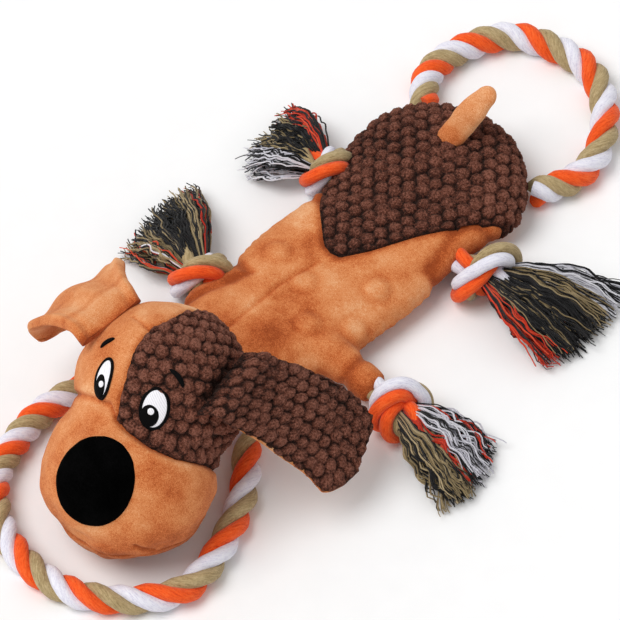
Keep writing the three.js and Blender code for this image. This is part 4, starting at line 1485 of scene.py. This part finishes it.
@dataclass
class Head:
    """The stuffed head: its panels, nose, eyes, brows and ears."""

    paints: Paints
    yaw: float = 14.0
    cranium: tuple[float, float, float] = (4.0, -59.6, 37.0)
    cranium_radius: float = 47.0
    muzzle: tuple[float, float, float] = (6.3, -44.9, -25.0)
    muzzle_half: tuple[float, float, float] = (49.0, 46.0, 42.5)
    seam_tilt: float = 33.0
    jaw_drop: float = 39.0
    gusset: float = 5.0
    wall: float = 1.8
    fill: float = 0.9
    voxel: float = 2.18
    ears: tuple[EarPlan, ...] = (
        EarPlan("left", 88, 38, 1.75, (
            (0, 0, 0), (0.09, 0.05, -0.03), (0.2, 0.15, -0.15), (0.34, 0.26, -0.33), (0.47, 0.33, -0.5),
            (0.56, 0.34, -0.6), (0.61, 0.34, -0.64), (0.64, 0.34, -0.66),
        ), (0.38, 0.41, 0.44, 0.45, 0.47, 0.47, 0.46, 0.45), True, 41, (170, 130), tip_width=0.47, skew=0.0,
            slant=2.0, fullness=3.4, bluntness=0.7, flutter=0.0, root_roll=4.5, root_shade=2.4, tone=0.4),
        EarPlan("right", -94, 40, 1.0, (
            (0.04, 0, 0.01), (-0.06, 0.05, 0.01), (-0.155, 0.12, -0.06), (-0.255, 0.2, -0.17), (-0.34, 0.27, -0.3),
            (-0.385, 0.325, -0.42), (-0.395, 0.35, -0.53), (-0.38, 0.355, -0.61),
        ), (0.36, 0.38, 0.43, 0.5, 0.56, 0.58, 0.55, 0.45), False, 42, (110, 80), tip_width=0.58, skew=-14.5,
            slant=0.0, fullness=9.0, bluntness=0.35, flutter=1.4, root_roll=1.6, root_shade=0.9, tone=0.15),
    )
    ear_length: float = 105.0
    ear_width: float = 61.0
    ear_rise: float = 4.5
    ear_fill: float = 0.4
    eyes: tuple[EyePlan, ...] = (
        EyePlan("left", (26.4, 37.8), (7.3, 11.2), -8, (22.6, 33.2), (5.1, 6.2), (23.8, 36.6), 1.0),
        EyePlan("right", (-29.0, 41), (5.2, 10.8), 31, (-26.4, 36.2), (3.5, 6.3), (-25.8, 38.0), 0.3),
    )
    brows: tuple[BrowPlan, ...] = (
        BrowPlan("left", (48.5, 56), (5.8, 1.9), -68, 3.5), BrowPlan("right", (-62, 52), (4.8, 1.5), 105, 0.4),
    )
    tree: BVHTree | None = field(default=None, init=False)

    @property
    def cloth(self) -> Upholstery:
        """The head's plush."""
        return Upholstery(self.paints, "head", self.wall, self.fill)

    def placed(self, local: Points) -> Points:
        """Points of the head's own frame in the pattern."""
        return turned_flat(local, self.yaw) + NECK

    def facing(self, turn: float, raise_by: float) -> Points:
        """A direction in the head's frame, by degrees to its left and then up."""
        across, up = math.radians(turn), math.radians(raise_by)
        return np.array([math.sin(across) * math.cos(up), -math.cos(across) * math.cos(up), math.sin(up)])

    def ball(self, centre: Sequence[float], half: Sequence[float]) -> Skin:
        """A closed ellipsoid in the head's frame."""
        turn = whole_turn(72)
        tip = np.linspace(-math.pi / 2, math.pi / 2, 42)[1:-1]
        rings = np.stack([
            np.cos(tip)[:, None] * np.cos(turn), np.cos(tip)[:, None] * np.sin(turn),
            np.repeat(np.sin(tip)[:, None], len(turn), 1),
        ], -1)
        return lofted(rings * np.array(half) + np.array(centre))

    def relative(self, points: Points) -> Points:
        """Points of the head's frame, seen from the middle of the cranium."""
        return points - np.array(self.cranium)

    def muzzle_depth(self, local: Points) -> Points:
        """How far in front of the muzzle seam each point is."""
        tilt = math.radians(self.seam_tilt)
        forward = np.array([0, -math.cos(tilt), -math.sin(tilt)])
        seam = np.interp(local[:, 0], [-47, -30, -8, -3, 7, 23, 36, 47], [24, 22.8, 21, 26, 29, 31.5, 31, 27])
        return local @ forward - seam

    def patch_depth(self, local: Points) -> Points:
        """How far inside the popcorn patch each point is, leaving the muzzle seam aside."""
        around = np.degrees(np.arctan2(local[:, 2], -local[:, 1]))
        edge = np.interp(
            around, [0, 30, 51, 71, 91, 105, 123, 150, 180], [0, -2.1, -4.2, -7.5, -6.7, -1.4, 0.5, 6, 10]
        )
        return np.minimum(np.minimum(local[:, 0] - edge, 70 - local[:, 1]), local[:, 2] + 25)

    def build_panels(self) -> None:
        """Melt the head's form, cut its panels and dress them."""
        centre = np.array(self.cranium)
        skull = self.ball(centre, (self.cranium_radius,) * 3)
        form = fused([skull, self.ball(centre + np.array(self.muzzle), self.muzzle_half)], self.voxel)
        form = form.eased(10).halved().eased(2)
        floor = 0.15 - NECK[2]
        form.lift(floor)
        local = self.relative(form.points)
        muzzle, patch = self.muzzle_depth(local), self.patch_depth(local)
        jaw = -self.jaw_drop - local[:, 2]
        seam = bell(muzzle, 1.7)
        edge = bell(patch, 1.7) * (muzzle < 1)
        lip = bell(jaw, 1.6) * smooth_step(muzzle, 0, 4)
        # The short seam under the muzzle, and the dart above the right ear's root
        mouth = self.crease(local, (28.1, -84.8, -26.3), (35.3, -78.2, -34.9), 1.5)
        dart = self.crease(local, (-22.1, 8.9, 40.5), (-7.6, 1.0, 46.4), 1.1)
        rise = 0.5 * ripple(form.points, 40, 51) + 0.2 * ripple(form.points, 15, 52)
        rise *= smooth_step(-patch, 0, 6) + smooth_step(muzzle, 0, 6)
        rise -= 2.1 * seam + 0.9 * edge + 1.0 * lip + 1.6 * mouth + 1.1 * dart
        # A random tone, a little painted light all over, and painted shade in the seams and creases, underneath
        # and on the muzzle
        shade = 0.22 * ripple(form.points, 55, 53) + 0.1
        shade -= 0.8 * seam + 0.5 * edge + 0.5 * lip + 0.9 * mouth + 0.6 * dart
        shade -= 0.4 * smooth_step(-form.normals()[:, 2], -0.3, 0.6) + 0.22 * smooth_step(muzzle, 0, 8)
        form.values["shade"] = np.clip(shade, -1, 0.6)
        form.push(rise)
        form.lift(floor)
        self.tree = BVHTree.FromPolygons([Vector(point) for point in form.points], form.faces.tolist())
        gusset = self.gusset - local[:, 1]
        side = np.minimum(-muzzle, -patch)
        for name, node, depth in (
            ("muzzle_plush", "muzzle_panel", np.minimum(muzzle, -jaw)),
            ("jaw_plush", "jaw_panel", np.minimum(muzzle, jaw)),
            ("face_plush", "face_panel", np.minimum(side, gusset)),
            ("head_back_plush", "head_back_panel", np.minimum(side, -gusset)),
        ):
            cut = form.kept(depth)
            cut.points = self.placed(cut.points)
            self.cloth.dress(cut, name, node)
        self.build_patch(form, np.minimum(-muzzle, patch))

    def crease(self, local: Points, start: Sequence[float], end: Sequence[float], width: float) -> Points:
        """Closeness to a short straight crease, from 0 to 1.

        Args:
            local: points seen from the middle of the cranium.
            start: the crease's start.
            end: its end.
            width: how wide it is.

        Returns:
            The closeness of each point.
        """
        first = turned_flat(np.array(start), 4.0)
        run = turned_flat(np.array(end), 4.0) - first
        share = np.clip(((local - first) @ run) / (run @ run), 0, 1)
        return bell(np.linalg.norm(local - first - share[:, None] * run, axis=1), width)

    def build_patch(self, form: Skin, depth: Points) -> None:
        """The popcorn patch round the left eye.

        Args:
            form: the head's form.
            depth: how far inside the patch its points are.
        """
        cut = Skin(form.points, form.faces, {**form.values, "inside": depth}).kept(depth).halved()
        local = unit(self.relative(cut.points))
        # The cloth lies flat round the patch's middle, with its rows turned
        middle = self.facing(46, 34)
        side, top = level_and_up(middle)
        far = np.arccos(np.clip(local @ middle, -1, 1)) * self.cranium_radius
        flat = unit(np.stack([local @ side, local @ top], 1)) * far[:, None]
        turn = math.radians(24)
        flat = flat @ np.array([[math.cos(turn), math.sin(turn)], [-math.sin(turn), math.cos(turn)]])
        tufts = tuft_heights(flat, 7.9, 7.9, 54)
        brim = smooth_step(cut.values.pop("inside"), -0.4, 2.4)
        # It is flatter round the eye and creased at the ear's root
        eye = self.facing(*self.eyes[0].place)
        near_eye = 1 - smooth_step(np.arccos(np.clip(local @ eye, -1, 1)) * self.cranium_radius, 7, 13)
        left = self.ears[0]
        ear = self.relative(cut.points) - self.facing(left.turn, left.raise_by) * self.cranium_radius
        crease = bell(np.hypot(np.hypot(ear[:, 0], ear[:, 2]), np.maximum(np.abs(ear[:, 1]) - 22, 0)), 3.8)
        cut.values["height"] = np.clip(tufts * (0.45 + 0.55 * brim) * (1 - 0.4 * near_eye), 0, 1)
        # Painted light over the whole patch, and painted shade in the crease at the ear's root
        cut.values["shade"] = np.clip(cut.values["shade"] + 0.45 - 2.6 * crease, -2.6, 1)
        rise = (0.3 + 0.9 * brim) + (2.7 * tufts - 1.3) * (0.35 + 0.65 * brim) * (1 - near_eye)
        cut.points = self.placed(cut.points)
        self.cloth.dress(cut, "eye_patch_popcorn", "eye_patch", True, rise - 0.4 * near_eye - 2.6 * crease)

    def laid(self, oval: Oval, turn: Points, share: float = 1.0) -> tuple[Points, Points]:
        """Where an oval's line falls on the head's surface.

        Args:
            oval: the oval.
            turn: angles round it.
            share: the line's size as a share of the oval's.

        Returns:
            The places, and the outward directions there.
        """
        side, top = level_and_up(oval.direction)
        angle = math.radians(oval.roll)
        first = side * math.cos(angle) + top * math.sin(angle)
        second = top * math.cos(angle) - side * math.sin(angle)
        ring = oval.half[0] * np.cos(turn)[:, None] * first + oval.half[1] * np.sin(turn)[:, None] * second
        hits = [
            self.tree.ray_cast(Vector(start + oval.direction * 120), Vector(-oval.direction))[:2]
            for start in oval.centre + share * ring
        ]
        return np.array([place for place, _ in hits]), np.array([way for _, way in hits])

    def pad(self, oval: Oval, low: float, crown: float, sharpness: float = 2.0, rows: int = 16) -> Skin:
        """An oval pad laid on the head's surface.

        Args:
            oval: its outline.
            low: how far its rim stands out.
            crown: how much further its middle does.
            sharpness: how full its edge is.
            rows: rings from the middle to the rim.

        Returns:
            The closed pad.
        """
        upper, lower = [], []
        for share in np.linspace(1, 0.02, rows):
            places, ways = self.laid(oval, whole_turn(56), share)
            upper.append(places + ways * (low + crown * (1 - share ** sharpness) ** 0.5))
            lower.append(places - ways * 0.5)
        return lofted(np.array(lower[::-1] + upper))

    def rim(
        self, oval: Oval, low: float, radius: float, span: tuple[float, float] = (0.0, 360.0), taper: float = 0.0
    ) -> Skin:
        """A thread along an oval's edge, or a tapered stroke along a part of it.

        Args:
            oval: the oval.
            low: how far the thread's middle stands out.
            radius: the thread's radius.
            span: the part of the oval, in degrees.
            taper: how far a stroke's ends taper, from 0 to 1.

        Returns:
            The thread.
        """
        line, out = self.laid(oval, np.radians(np.linspace(*span, 90)))
        line = line + out * low
        along = unit(np.gradient(line, axis=0))
        size = radius * (1 - taper * np.abs(np.linspace(-1, 1, len(line))) ** 2.2)
        return tube(line, out, np.cross(along, out), size[:, None], 10, wide=0.7)

    def build_face(self) -> None:
        """The nose, the eyes and the brows."""
        paints, middle = self.paints, np.array(self.cranium)
        patch = Oval(middle + np.array(self.muzzle), self.facing(-5.6, 42), (23.0, 24.6))
        nose = self.pad(patch, 0.2, 3.2, 3.2, 40)
        nose.push(0.1 * ripple(nose.points, 5.0, 61))
        self.mark(nose, "nose_plush_pad", "nose_plush", paints.nose, ["nose"])
        for eye in self.eyes:
            white = Oval(middle, self.facing(*eye.place), eye.half, eye.roll)
            pupil = Oval(middle, self.facing(*eye.pupil), eye.pupil_half, eye.roll)
            glint = Oval(middle, self.facing(*eye.glint), (1.7, 1.8))
            dark = Skin.joined([self.pad(pupil, eye.low + 0.9, 0.7), self.rim(white, eye.low + 0.3, 0.95)])
            # The pupil and the line round the eye are of one thread
            dark.paint = None
            for skin, part, colour, nodes in (
                (self.pad(white, eye.low, 1.0), "white", "white", [f"eye_white_{eye.side}"]),
                (dark, "pupil", "black", [f"eye_pupil_{eye.side}"]),
                (self.pad(glint, eye.low + 1.6, 0.35, rows=6), "glint", "white", []),
            ):
                thread = paints.white_thread if colour == "white" else paints.black_thread
                self.mark(skin, f"{eye.side}_eye_{part}", f"{colour}_thread", thread, nodes)
        for brow in self.brows:
            arch = Oval(middle, self.facing(*brow.place), brow.half, brow.roll)
            stroke = self.rim(arch, brow.low, 1.5, (12.0, 168.0), 0.85)
            self.mark(
                stroke, f"{brow.side}_brow_stroke", "black_thread", paints.black_thread, [f"brow_{brow.side}"]
            )

    def mark(self, skin: Skin, name: str, slot: str, paint: bpy.types.Material, nodes: Sequence[str]) -> None:
        """Put a mark of the face in its place.

        Args:
            skin: the mark, in the head's frame.
            name: the piece's name.
            slot: the record's material slot.
            paint: its material.
            nodes: the nodes that it stands for.
        """
        skin.points = self.placed(skin.points)
        skin.piece(name, "head", slot, [paint], nodes)

    def ear_sheet(self, ear: EarPlan) -> EarSheet:
        """The bent sheet that both layers of an ear follow.

        Args:
            ear: the ear's plan.

        Returns:
            Its sheet.
        """
        rows, columns = ear.grid
        line = along_curve(np.array(ear.path) * self.ear_length, self.ear_length / rows)
        share = np.linspace(0, 1, len(line))
        half = np.interp(share, np.linspace(0, 1, len(ear.path)), ear.widths)
        half = averaged(half, 8, mode="edge") * self.ear_width
        tip = round_end(share, 0.88)
        half = np.minimum(half, ear.tip_width * self.ear_width * tip + 0.2)
        along = unit(np.gradient(line, axis=0))
        wide = turned_flat(np.array([0.0, 1.0, 0.0]), ear.skew)
        up = unit(np.cross(along, wide))
        up[up[:, 2] < 0] *= -1
        across = np.linspace(-1, 1, columns)
        row = share[:, None]
        places = line[:, None, :] + wide * (half[:, None] * across)[:, :, None]
        full = np.clip(1 - np.abs(across) ** ear.fullness, 0, 1) ** 0.5 * (tip ** ear.bluntness)[:, None]
        wave = 1.1 * ripple(places.reshape(-1, 3), 42, ear.seed).reshape(full.shape) * smooth_step(row, 0.1, 0.5)
        wave += ear.flutter * np.sin(across * 7 + 4 * row) * smooth_step(row, 0.05, 0.3)
        roll = bell(row - 0.1, 0.05)
        places = places - along[:, None, :] * (ear.slant * smooth_step(row, 0.5, 1) * (1 + across))[:, :, None]
        full = full * (1 - 0.35 * (1 - smooth_step(row, 0, 0.3)))
        travelled = travelled_along(line + up * (self.ear_rise * roll))
        return EarSheet(
            line, places, travelled, share, across, half, along, up, wide, full, wave + ear.root_roll * roll
        )

    def build_layer(self, ear: EarPlan, sheet: EarSheet, layer: str, low: float, high: float) -> None:
        """One of the two layers of an ear, which bulge apart between rolled edges.

        Args:
            ear: the ear's plan.
            sheet: its bent sheet.
            layer: which layer.
            low: its lower side, from the sheet.
            high: its upper side.
        """
        front = layer == "front"
        popcorn = front and ear.popcorn
        full, edge, end, row = sheet.full, sheet.edge, sheet.end, sheet.share[:, None]
        height = turned = np.zeros(full.shape)
        flat, swell = (low, high) if front else (high, low)
        top, under = flat + (swell - flat) * full, height + flat
        if not front:
            top, under = under, top
        if popcorn:
            cloth = np.stack(np.broadcast_arrays(sheet.travelled[:, None], sheet.across * sheet.half[:, None]), -1)
            tufts = tuft_heights(cloth.reshape(-1, 2), 7.9, 7.6, 43).reshape(full.shape)
            brim = smooth_step(edge, -0.5, 1.4) * smooth_step(end, -0.5, 1.4)
            height = tufts * (0.6 + 0.4 * brim)
            top = top + (2.7 * tufts - 1.0) * brim
        elif front:
            hem = np.minimum(edge, end)
            top = top + 1.1 * bell(hem - 3.0, 2.0) - 0.7 * bell(hem - 7.5, 2.0)
        elif ear.popcorn:
            turned = np.clip(-sheet.across, 0, 1)[None] ** 5 * smooth_step(row, 0.2, 0.45)
        # Tufts stand out at the sides and the end too, and the lining turns up at one side
        beside = 1.7 * height * bell(edge, 2.5) * np.sign(sheet.across) - 1.3 * turned
        ahead = 1.7 * height * bell(end, 2.5)
        places = sheet.places + sheet.wide * beside[:, :, None] + sheet.along[:, None, :] * ahead[:, :, None]
        upper, lower = (
            places + sheet.up[:, None, :] * (side + sheet.wave + 0.8 * turned)[:, :, None] for side in (top, under)
        )
        skin = lofted(np.concatenate([upper, lower[:, ::-1]], axis=1))
        skin.turn_outward()
        # Painted light over the whole ear, and painted shade along its sides, at its root and in the crease behind
        # its roll
        shade = ear.tone - 0.2 * bell(edge, 2.0) - ear.root_shade * bell(row, 0.04) - 0.35 * bell(row - 0.19, 0.03)
        shade = np.concatenate([shade, shade[:, ::-1]], axis=1)
        skin.values["shade"] = np.r_[shade.ravel(), 0, 0] + 0.15 * ripple(skin.points, 50, ear.seed + 2)
        if popcorn:
            height = np.concatenate([height, np.zeros(height.shape)], axis=1)
            skin.values["height"] = np.r_[height.ravel(), 0, 0]
        root = self.facing(ear.turn, ear.raise_by) * (self.cranium_radius + ear.lift) + np.array(self.cranium)
        skin.points = self.placed(skin.points + root)
        hinge = self.placed(root + sheet.line[[0, len(sheet.line) // 5]])
        skin.piece(
            f"{ear.side}_ear_{layer}_cloth", "head", *self.paints.plush(popcorn), [f"ear_{ear.side}_{layer}"],
            self.ear_fill, (f"{ear.side}_ear", hinge[0], hinge[1]),
        )

    def build(self) -> None:
        """The whole head."""
        self.build_panels()
        self.build_face()
        for ear in self.ears:
            sheet = self.ear_sheet(ear)
            self.build_layer(ear, sheet, "front", 0.05, 3.9)
            self.build_layer(ear, sheet, "lining", -2.6, -0.05)


@dataclass
class Tail:
    """The short stuffed tail."""

    paints: Paints
    place: tuple[float, float, float] = (-2.0, 123.5, 38.0)
    lean: tuple[float, float, float] = (9.5, 19.5, 27.5)
    length: float = 30.0
    sides: int = 64

    def build(self) -> None:
        """A flattened tube with a rounded tip and a gathered root."""
        axis = unit(np.array(self.lean))
        side = unit(np.cross(axis, [0.25, -0.25, 1.0]))
        front = np.cross(side, axis)
        share = np.linspace(0, 1, 90)
        reach = -10.0 + (self.length + 16.2) * share
        stuffed = np.interp(share, [0, 0.2, 0.4, 0.6, 0.85, 1], [6.0, 7.2, 7.6, 7.2, 5.7, 4.8])
        size = stuffed * round_end(share, 0.86)
        line = np.array(self.place) + axis * reach[:, None] + front * (1.2 * np.sin(math.pi * share))[:, None]
        skin = tube(line, side, front, size[:, None], self.sides, 1.06, 0.68)
        skin.push(0.3 * ripple(skin.points, 14, 71))
        low = np.r_[np.repeat(share, self.sides), 0, 1]
        # Painted light over the tail, and a painted shadow at its root
        skin.values["shade"] = 0.45 - 0.5 * (1 - smooth_step(low, 0.2, 0.36))
        skin.piece("tail_plush_tube", "tail", *self.paints.plush(), ["tail_plush"], 0.9)


@dataclass
class Legs:
    """The knotted rope ends and their frayed tassels."""

    paints: Paints
    rope: Rope = field(default_factory=lambda: Rope(3.75, 3.75, 20, 0.9))
    knot_pitch: float = 75.0
    knot_distance: float = 10.5
    knot_size: tuple[float, float, float] = (2.7, 6.1, 5.7)
    clumps: int = 38
    clump_yarns: int = 14
    yarn_sides: int = 4
    share: Points = field(default_factory=lambda: np.linspace(0, 1, 28))
    # An overhand knot about its middle, in radii of its rope
    knot: tuple[tuple[float, float, float], ...] = (
        (-4.11, -0.14, -0.01), (-3.02, -0.16, -0.01), (-1.93, -0.19, 0.02), (-0.97, -0.42, 0.45),
        (-0.3, -1.06, 0.97), (0.45, -1.82, 0.89), (1.25, -2.26, 0.31), (1.92, -2.18, -0.53), (2.28, -1.62, -1.37),
        (2.29, -0.69, -1.92), (1.97, 0.33, -1.98), (1.37, 1.14, -1.59), (0.67, 1.49, -0.86), (0, 1.5, 0),
        (-0.67, 1.49, 0.86), (-1.37, 1.14, 1.59), (-1.97, 0.33, 1.98), (-2.29, -0.69, 1.92),
        (-2.28, -1.62, 1.37), (-1.92, -2.18, 0.53), (-1.25, -2.26, -0.31), (-0.45, -1.82, -0.89),
        (0.3, -1.06, -0.97), (0.97, -0.42, -0.45), (1.93, -0.19, -0.02), (3.02, -0.16, 0.01), (4.11, -0.14, 0.01),
    )

    @property
    def free(self) -> Points:
        """How free of the knot a yarn is at each of its points."""
        return smooth_step(self.share, 0.05, 0.5)

    def settle(
        self, skin: Skin, leg: LegPlace, piece: str, node: str, slot: str, paints: list[bpy.types.Material]
    ) -> None:
        """Put a part of a leg in its place, on the floor.

        Args:
            skin: the part, in the leg's own frame.
            leg: which leg.
            piece: the part's name without its leg.
            node: its node's name without its leg.
            slot: the record's material slot.
            paints: its materials.
        """
        skin.points = leg.placed(skin.points)
        skin.lift(0.1)
        name = leg.name.value
        skin.piece(f"{name}_{piece}", f"{name}_leg", slot, paints, [f"{name}_{node}"])

    def build_knot(self, leg: LegPlace) -> None:
        """The rope from the sleeve through its overhand knot."""
        angle = math.radians(leg.roll)
        cos, sin = math.cos(angle), math.sin(angle)
        turn = np.array([[1, 0, 0], [0, cos, sin], [0, -sin, cos]])
        middle = (np.array(self.knot) + np.array([0, 0.35, 0])) @ turn * np.array(self.knot_size) * leg.bulk
        middle[:, 0] = np.maximum(middle[:, 0] + self.knot_distance * leg.bulk, -3.0)
        line = along_curve(np.vstack([[(-leg.cuff - 5, 0, 0)], middle[1:-1], [(25.0, 0, -1.5)]]), self.rope.step)
        tangent = unit(np.gradient(line, axis=0))
        up = np.zeros_like(line)
        up[0] = unit(np.cross(np.cross(tangent[0], UPWARD), tangent[0]))
        for row in range(1, len(line)):
            up[row] = unit(up[row - 1] - tangent[row] * (up[row - 1] @ tangent[row]))
        lay = leg.lay_start + travelled_along(line) / self.knot_pitch
        skin = Skin.joined(self.rope.strands(line, lay, up, leg.orders))
        self.settle(skin, leg, "knot_strands", "leg_rope", "rope", self.paints.strands)

    def clump(self, leg: LegPlace, spread: float, dice: np.random.Generator) -> Points:
        """The middle line of a clump of yarns.

        Args:
            leg: which leg.
            spread: its place across the fan, from -1 to 1.
            dice: draws its bends.

        Returns:
            Points from the knot to its end.
        """
        share, free = self.share, self.free
        layer = dice.uniform(-1, 1)
        length = leg.reach * (1 + leg.slope * spread - 0.08 * spread ** 2) - abs(dice.normal(0, 3.0))
        start = np.array([13.0, 6.5 * spread, 4.5 * layer - 1.0])
        sideways = leg.fan * spread + math.tan(math.radians(leg.fan_turn)) * length
        end = np.array([length, sideways + dice.normal(0, 1.5), -11.5 + 4.2 * layer])
        bulge = np.array([0, 0.16 * leg.fan * spread + dice.normal(0, 1.5), 4.5 * layer + 5.0])
        line = start + (end - start) * share[:, None] + bulge * np.sin(math.pi * share)[:, None]
        for wave in (1.7, 3.1, 5.3):
            sway = np.sin(2 * math.pi * (wave * share + dice.uniform()))
            for axis, strength in ((1, 1.5), (2, 1.1)):
                line[:, axis] += dice.normal(0, strength) / wave ** 0.7 * sway * free
        return line

    def yarn(self, middle: Points, phase: float, number: int, dice: np.random.Generator) -> Skin:
        """One kinked yarn of a clump.

        Args:
            middle: the clump's middle line.
            phase: where its kinks start.
            number: its number in the tassel.
            dice: draws how it lies.

        Returns:
            The yarn.
        """
        share, free = self.share, self.free
        loose = dice.normal(0, (0.5, 1.5, 1.1))
        flare = dice.normal((-1.0, 0, 0), (2.4, 2.2, 1.2))
        line = middle + (loose * (0.5 + 0.5 * free)[:, None] + flare * (share ** 3)[:, None])
        for wave in (4.6, 8.3):
            kink = 2 * math.pi * (wave * share + phase + dice.normal(0, 0.09))
            line[:, 1] += dice.uniform(0.12, 0.5) * 4 / wave * np.sin(kink) * free
            line[:, 2] += dice.uniform(0.1, 0.5) * 4 / wave * np.cos(kink) * free
        line[:, 2] = np.maximum(line[:, 2], -15.6 + dice.uniform(0, 1.0))
        radius = dice.uniform(0.36, 0.62) * (1 - 0.35 * share ** 4)
        skin = level_tube(line, radius, self.yarn_sides)
        skin.values["lay"] = strand_lay(whole_turn(self.yarn_sides), share * 60 + 7 * number)
        skin.values["shade"] = np.full(len(skin.points), dice.uniform(-0.22, 0.16))
        return skin

    def build_tassel(self, leg: LegPlace) -> None:
        """The fan of loose yarns beyond the knot."""
        dice = np.random.default_rng(leg.seed)
        skins: list[Skin] = []
        paint: list[int] = []
        for number in range(self.clumps):
            spread = -1 + 2 * (number + dice.uniform(0.1, 0.9)) / self.clumps
            middle = self.clump(leg, spread, dice)
            phase = dice.uniform()
            for _ in range(self.clump_yarns):
                skins.append(self.yarn(middle, phase, len(skins), dice))
                paint.append(int(dice.choice(4, p=leg.shares(spread))))
        whole = Skin.joined(skins)
        whole.paint = np.repeat(paint, [len(skin.faces) for skin in skins])
        self.settle(whole, leg, "tassel_yarns", "tassel", "yarn", self.paints.yarns)

    def build(self) -> None:
        """All four legs."""
        for leg in LEGS:
            self.build_knot(leg)
            self.build_tassel(leg)


@dataclass
class Innards:
    """The neck roll, the filling and the squeaker inside."""

    paints: Paints
    # Each filling's node, its body and the size of its steps
    fillings: tuple[tuple[str, str, float], ...] = (
        ("chest_stuffing", "torso", 2.4), ("rump_stuffing", "torso", 2.4), ("belly_padding", "torso", 1.6),
        ("head_stuffing_left", "head", 2.4), ("head_stuffing_right", "head", 2.4), ("tail_stuffing", "tail", 1.0),
    )
    tail_share: float = 0.72
    tail_shift: tuple[float, float, float] = (-1.0, 3.0, 0.0)
    towards_head: tuple[float, float, float] = (18.3, -56.9, 37.0)
    press: float = 5.0

    def lump(self, node: str, voxel: float, depth: float, seed: int) -> Skin:
        """A soft irregular copy of a node's form, inside it.

        Args:
            node: the node.
            voxel: the size of its steps.
            depth: how deep its hollows are.
            seed: chooses them.

        Returns:
            The lumpy form.
        """
        skin = fused([taken(bpy.data.objects[node])], voxel).eased(2)
        skin.push(-depth * (0.5 + 0.5 * np.clip(ripple(skin.points, 9, seed), -1, 1)))
        skin.values["shade"] = -0.2 * ripple(skin.points, 12, seed + 1)
        return skin

    def build_fillings(self) -> None:
        """The filling of the body, the head and the tail."""
        for number, (node, body, voxel) in enumerate(self.fillings):
            skin = self.lump(node, voxel, 0.6, 80 + number)
            if body == "tail":
                centre = skin.points.mean(axis=0)
                skin.points = centre + (skin.points - centre) * self.tail_share + np.array(self.tail_shift)
            skin.piece(node + "_fibres", body, "filling", [self.paints.filling], [node], 0.5)

    def build_neck(self) -> None:
        """The stuffed neck between the body and the head."""
        towards = unit(np.array(self.towards_head))
        controls = [(0, 26, -13), (0, 14, -12), (1, 0, -3), *[towards * reach for reach in (14, 26, 40)]]
        line = along_curve(NECK + np.array(controls, float), 1.0)
        share = np.linspace(-1, 1, len(line))
        size = 12.0 * np.sqrt(np.clip(1 - np.abs(share) ** 5, 0.0004, 1))
        skin = level_tube(line, size, 48, 1.25)
        skin.push(0.5 * ripple(skin.points, 16, 90))
        skin.values["shade"] = -0.3 - 0.2 * ripple(skin.points, 18, 91)
        bend = ("head", NECK, NECK + towards * 26)
        skin.piece("neck_plush", "neck", *self.paints.plush(), ["neck_roll"], 0.8, bend)

    def build_bellows(self) -> None:
        """The bellows of the head's squeaker."""
        node = "squeaker_bellows"
        obj = taken(bpy.data.objects[node]).piece(
            "bellows_vinyl", "head", "squeaker_plastic", [self.paints.vinyl], [node]
        )
        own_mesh(obj)

    def build(self) -> None:
        """Everything under the cloth."""
        self.build_fillings()
        self.build_neck()
        sheet = self.lump("crinkle_sheet", 0.5, 0.2, 91)
        sheet.piece("crinkle_film", "torso", "film", [self.paints.film], ["crinkle_sheet"])
        self.build_bellows()
        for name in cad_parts:
            obj = bpy.data.objects.get(name)
            if obj is not None and name.startswith(("mat_reed", "squeaker_")):
                obj.data.materials.clear()
                obj.data.materials.append(self.paints.film if name == "squeaker_mat" else self.paints.vinyl)


def main() -> None:
    """Make the toy, from the camera and the ropes to what is inside."""
    logging.basicConfig(level=logging.INFO, format="%(message)s")
    studio = Studio()
    studio.build_camera()
    paints = Paints()
    loops = RopeLoops(paints)
    loops.build()
    studio.build_light()
    studio.build_floor()
    Body(paints).build()
    Head(paints).build()
    Tail(paints).build()
    Legs(paints).build()
    loops.build_hidden()
    Innards(paints).build()


if __name__ == "__main__":
    main()
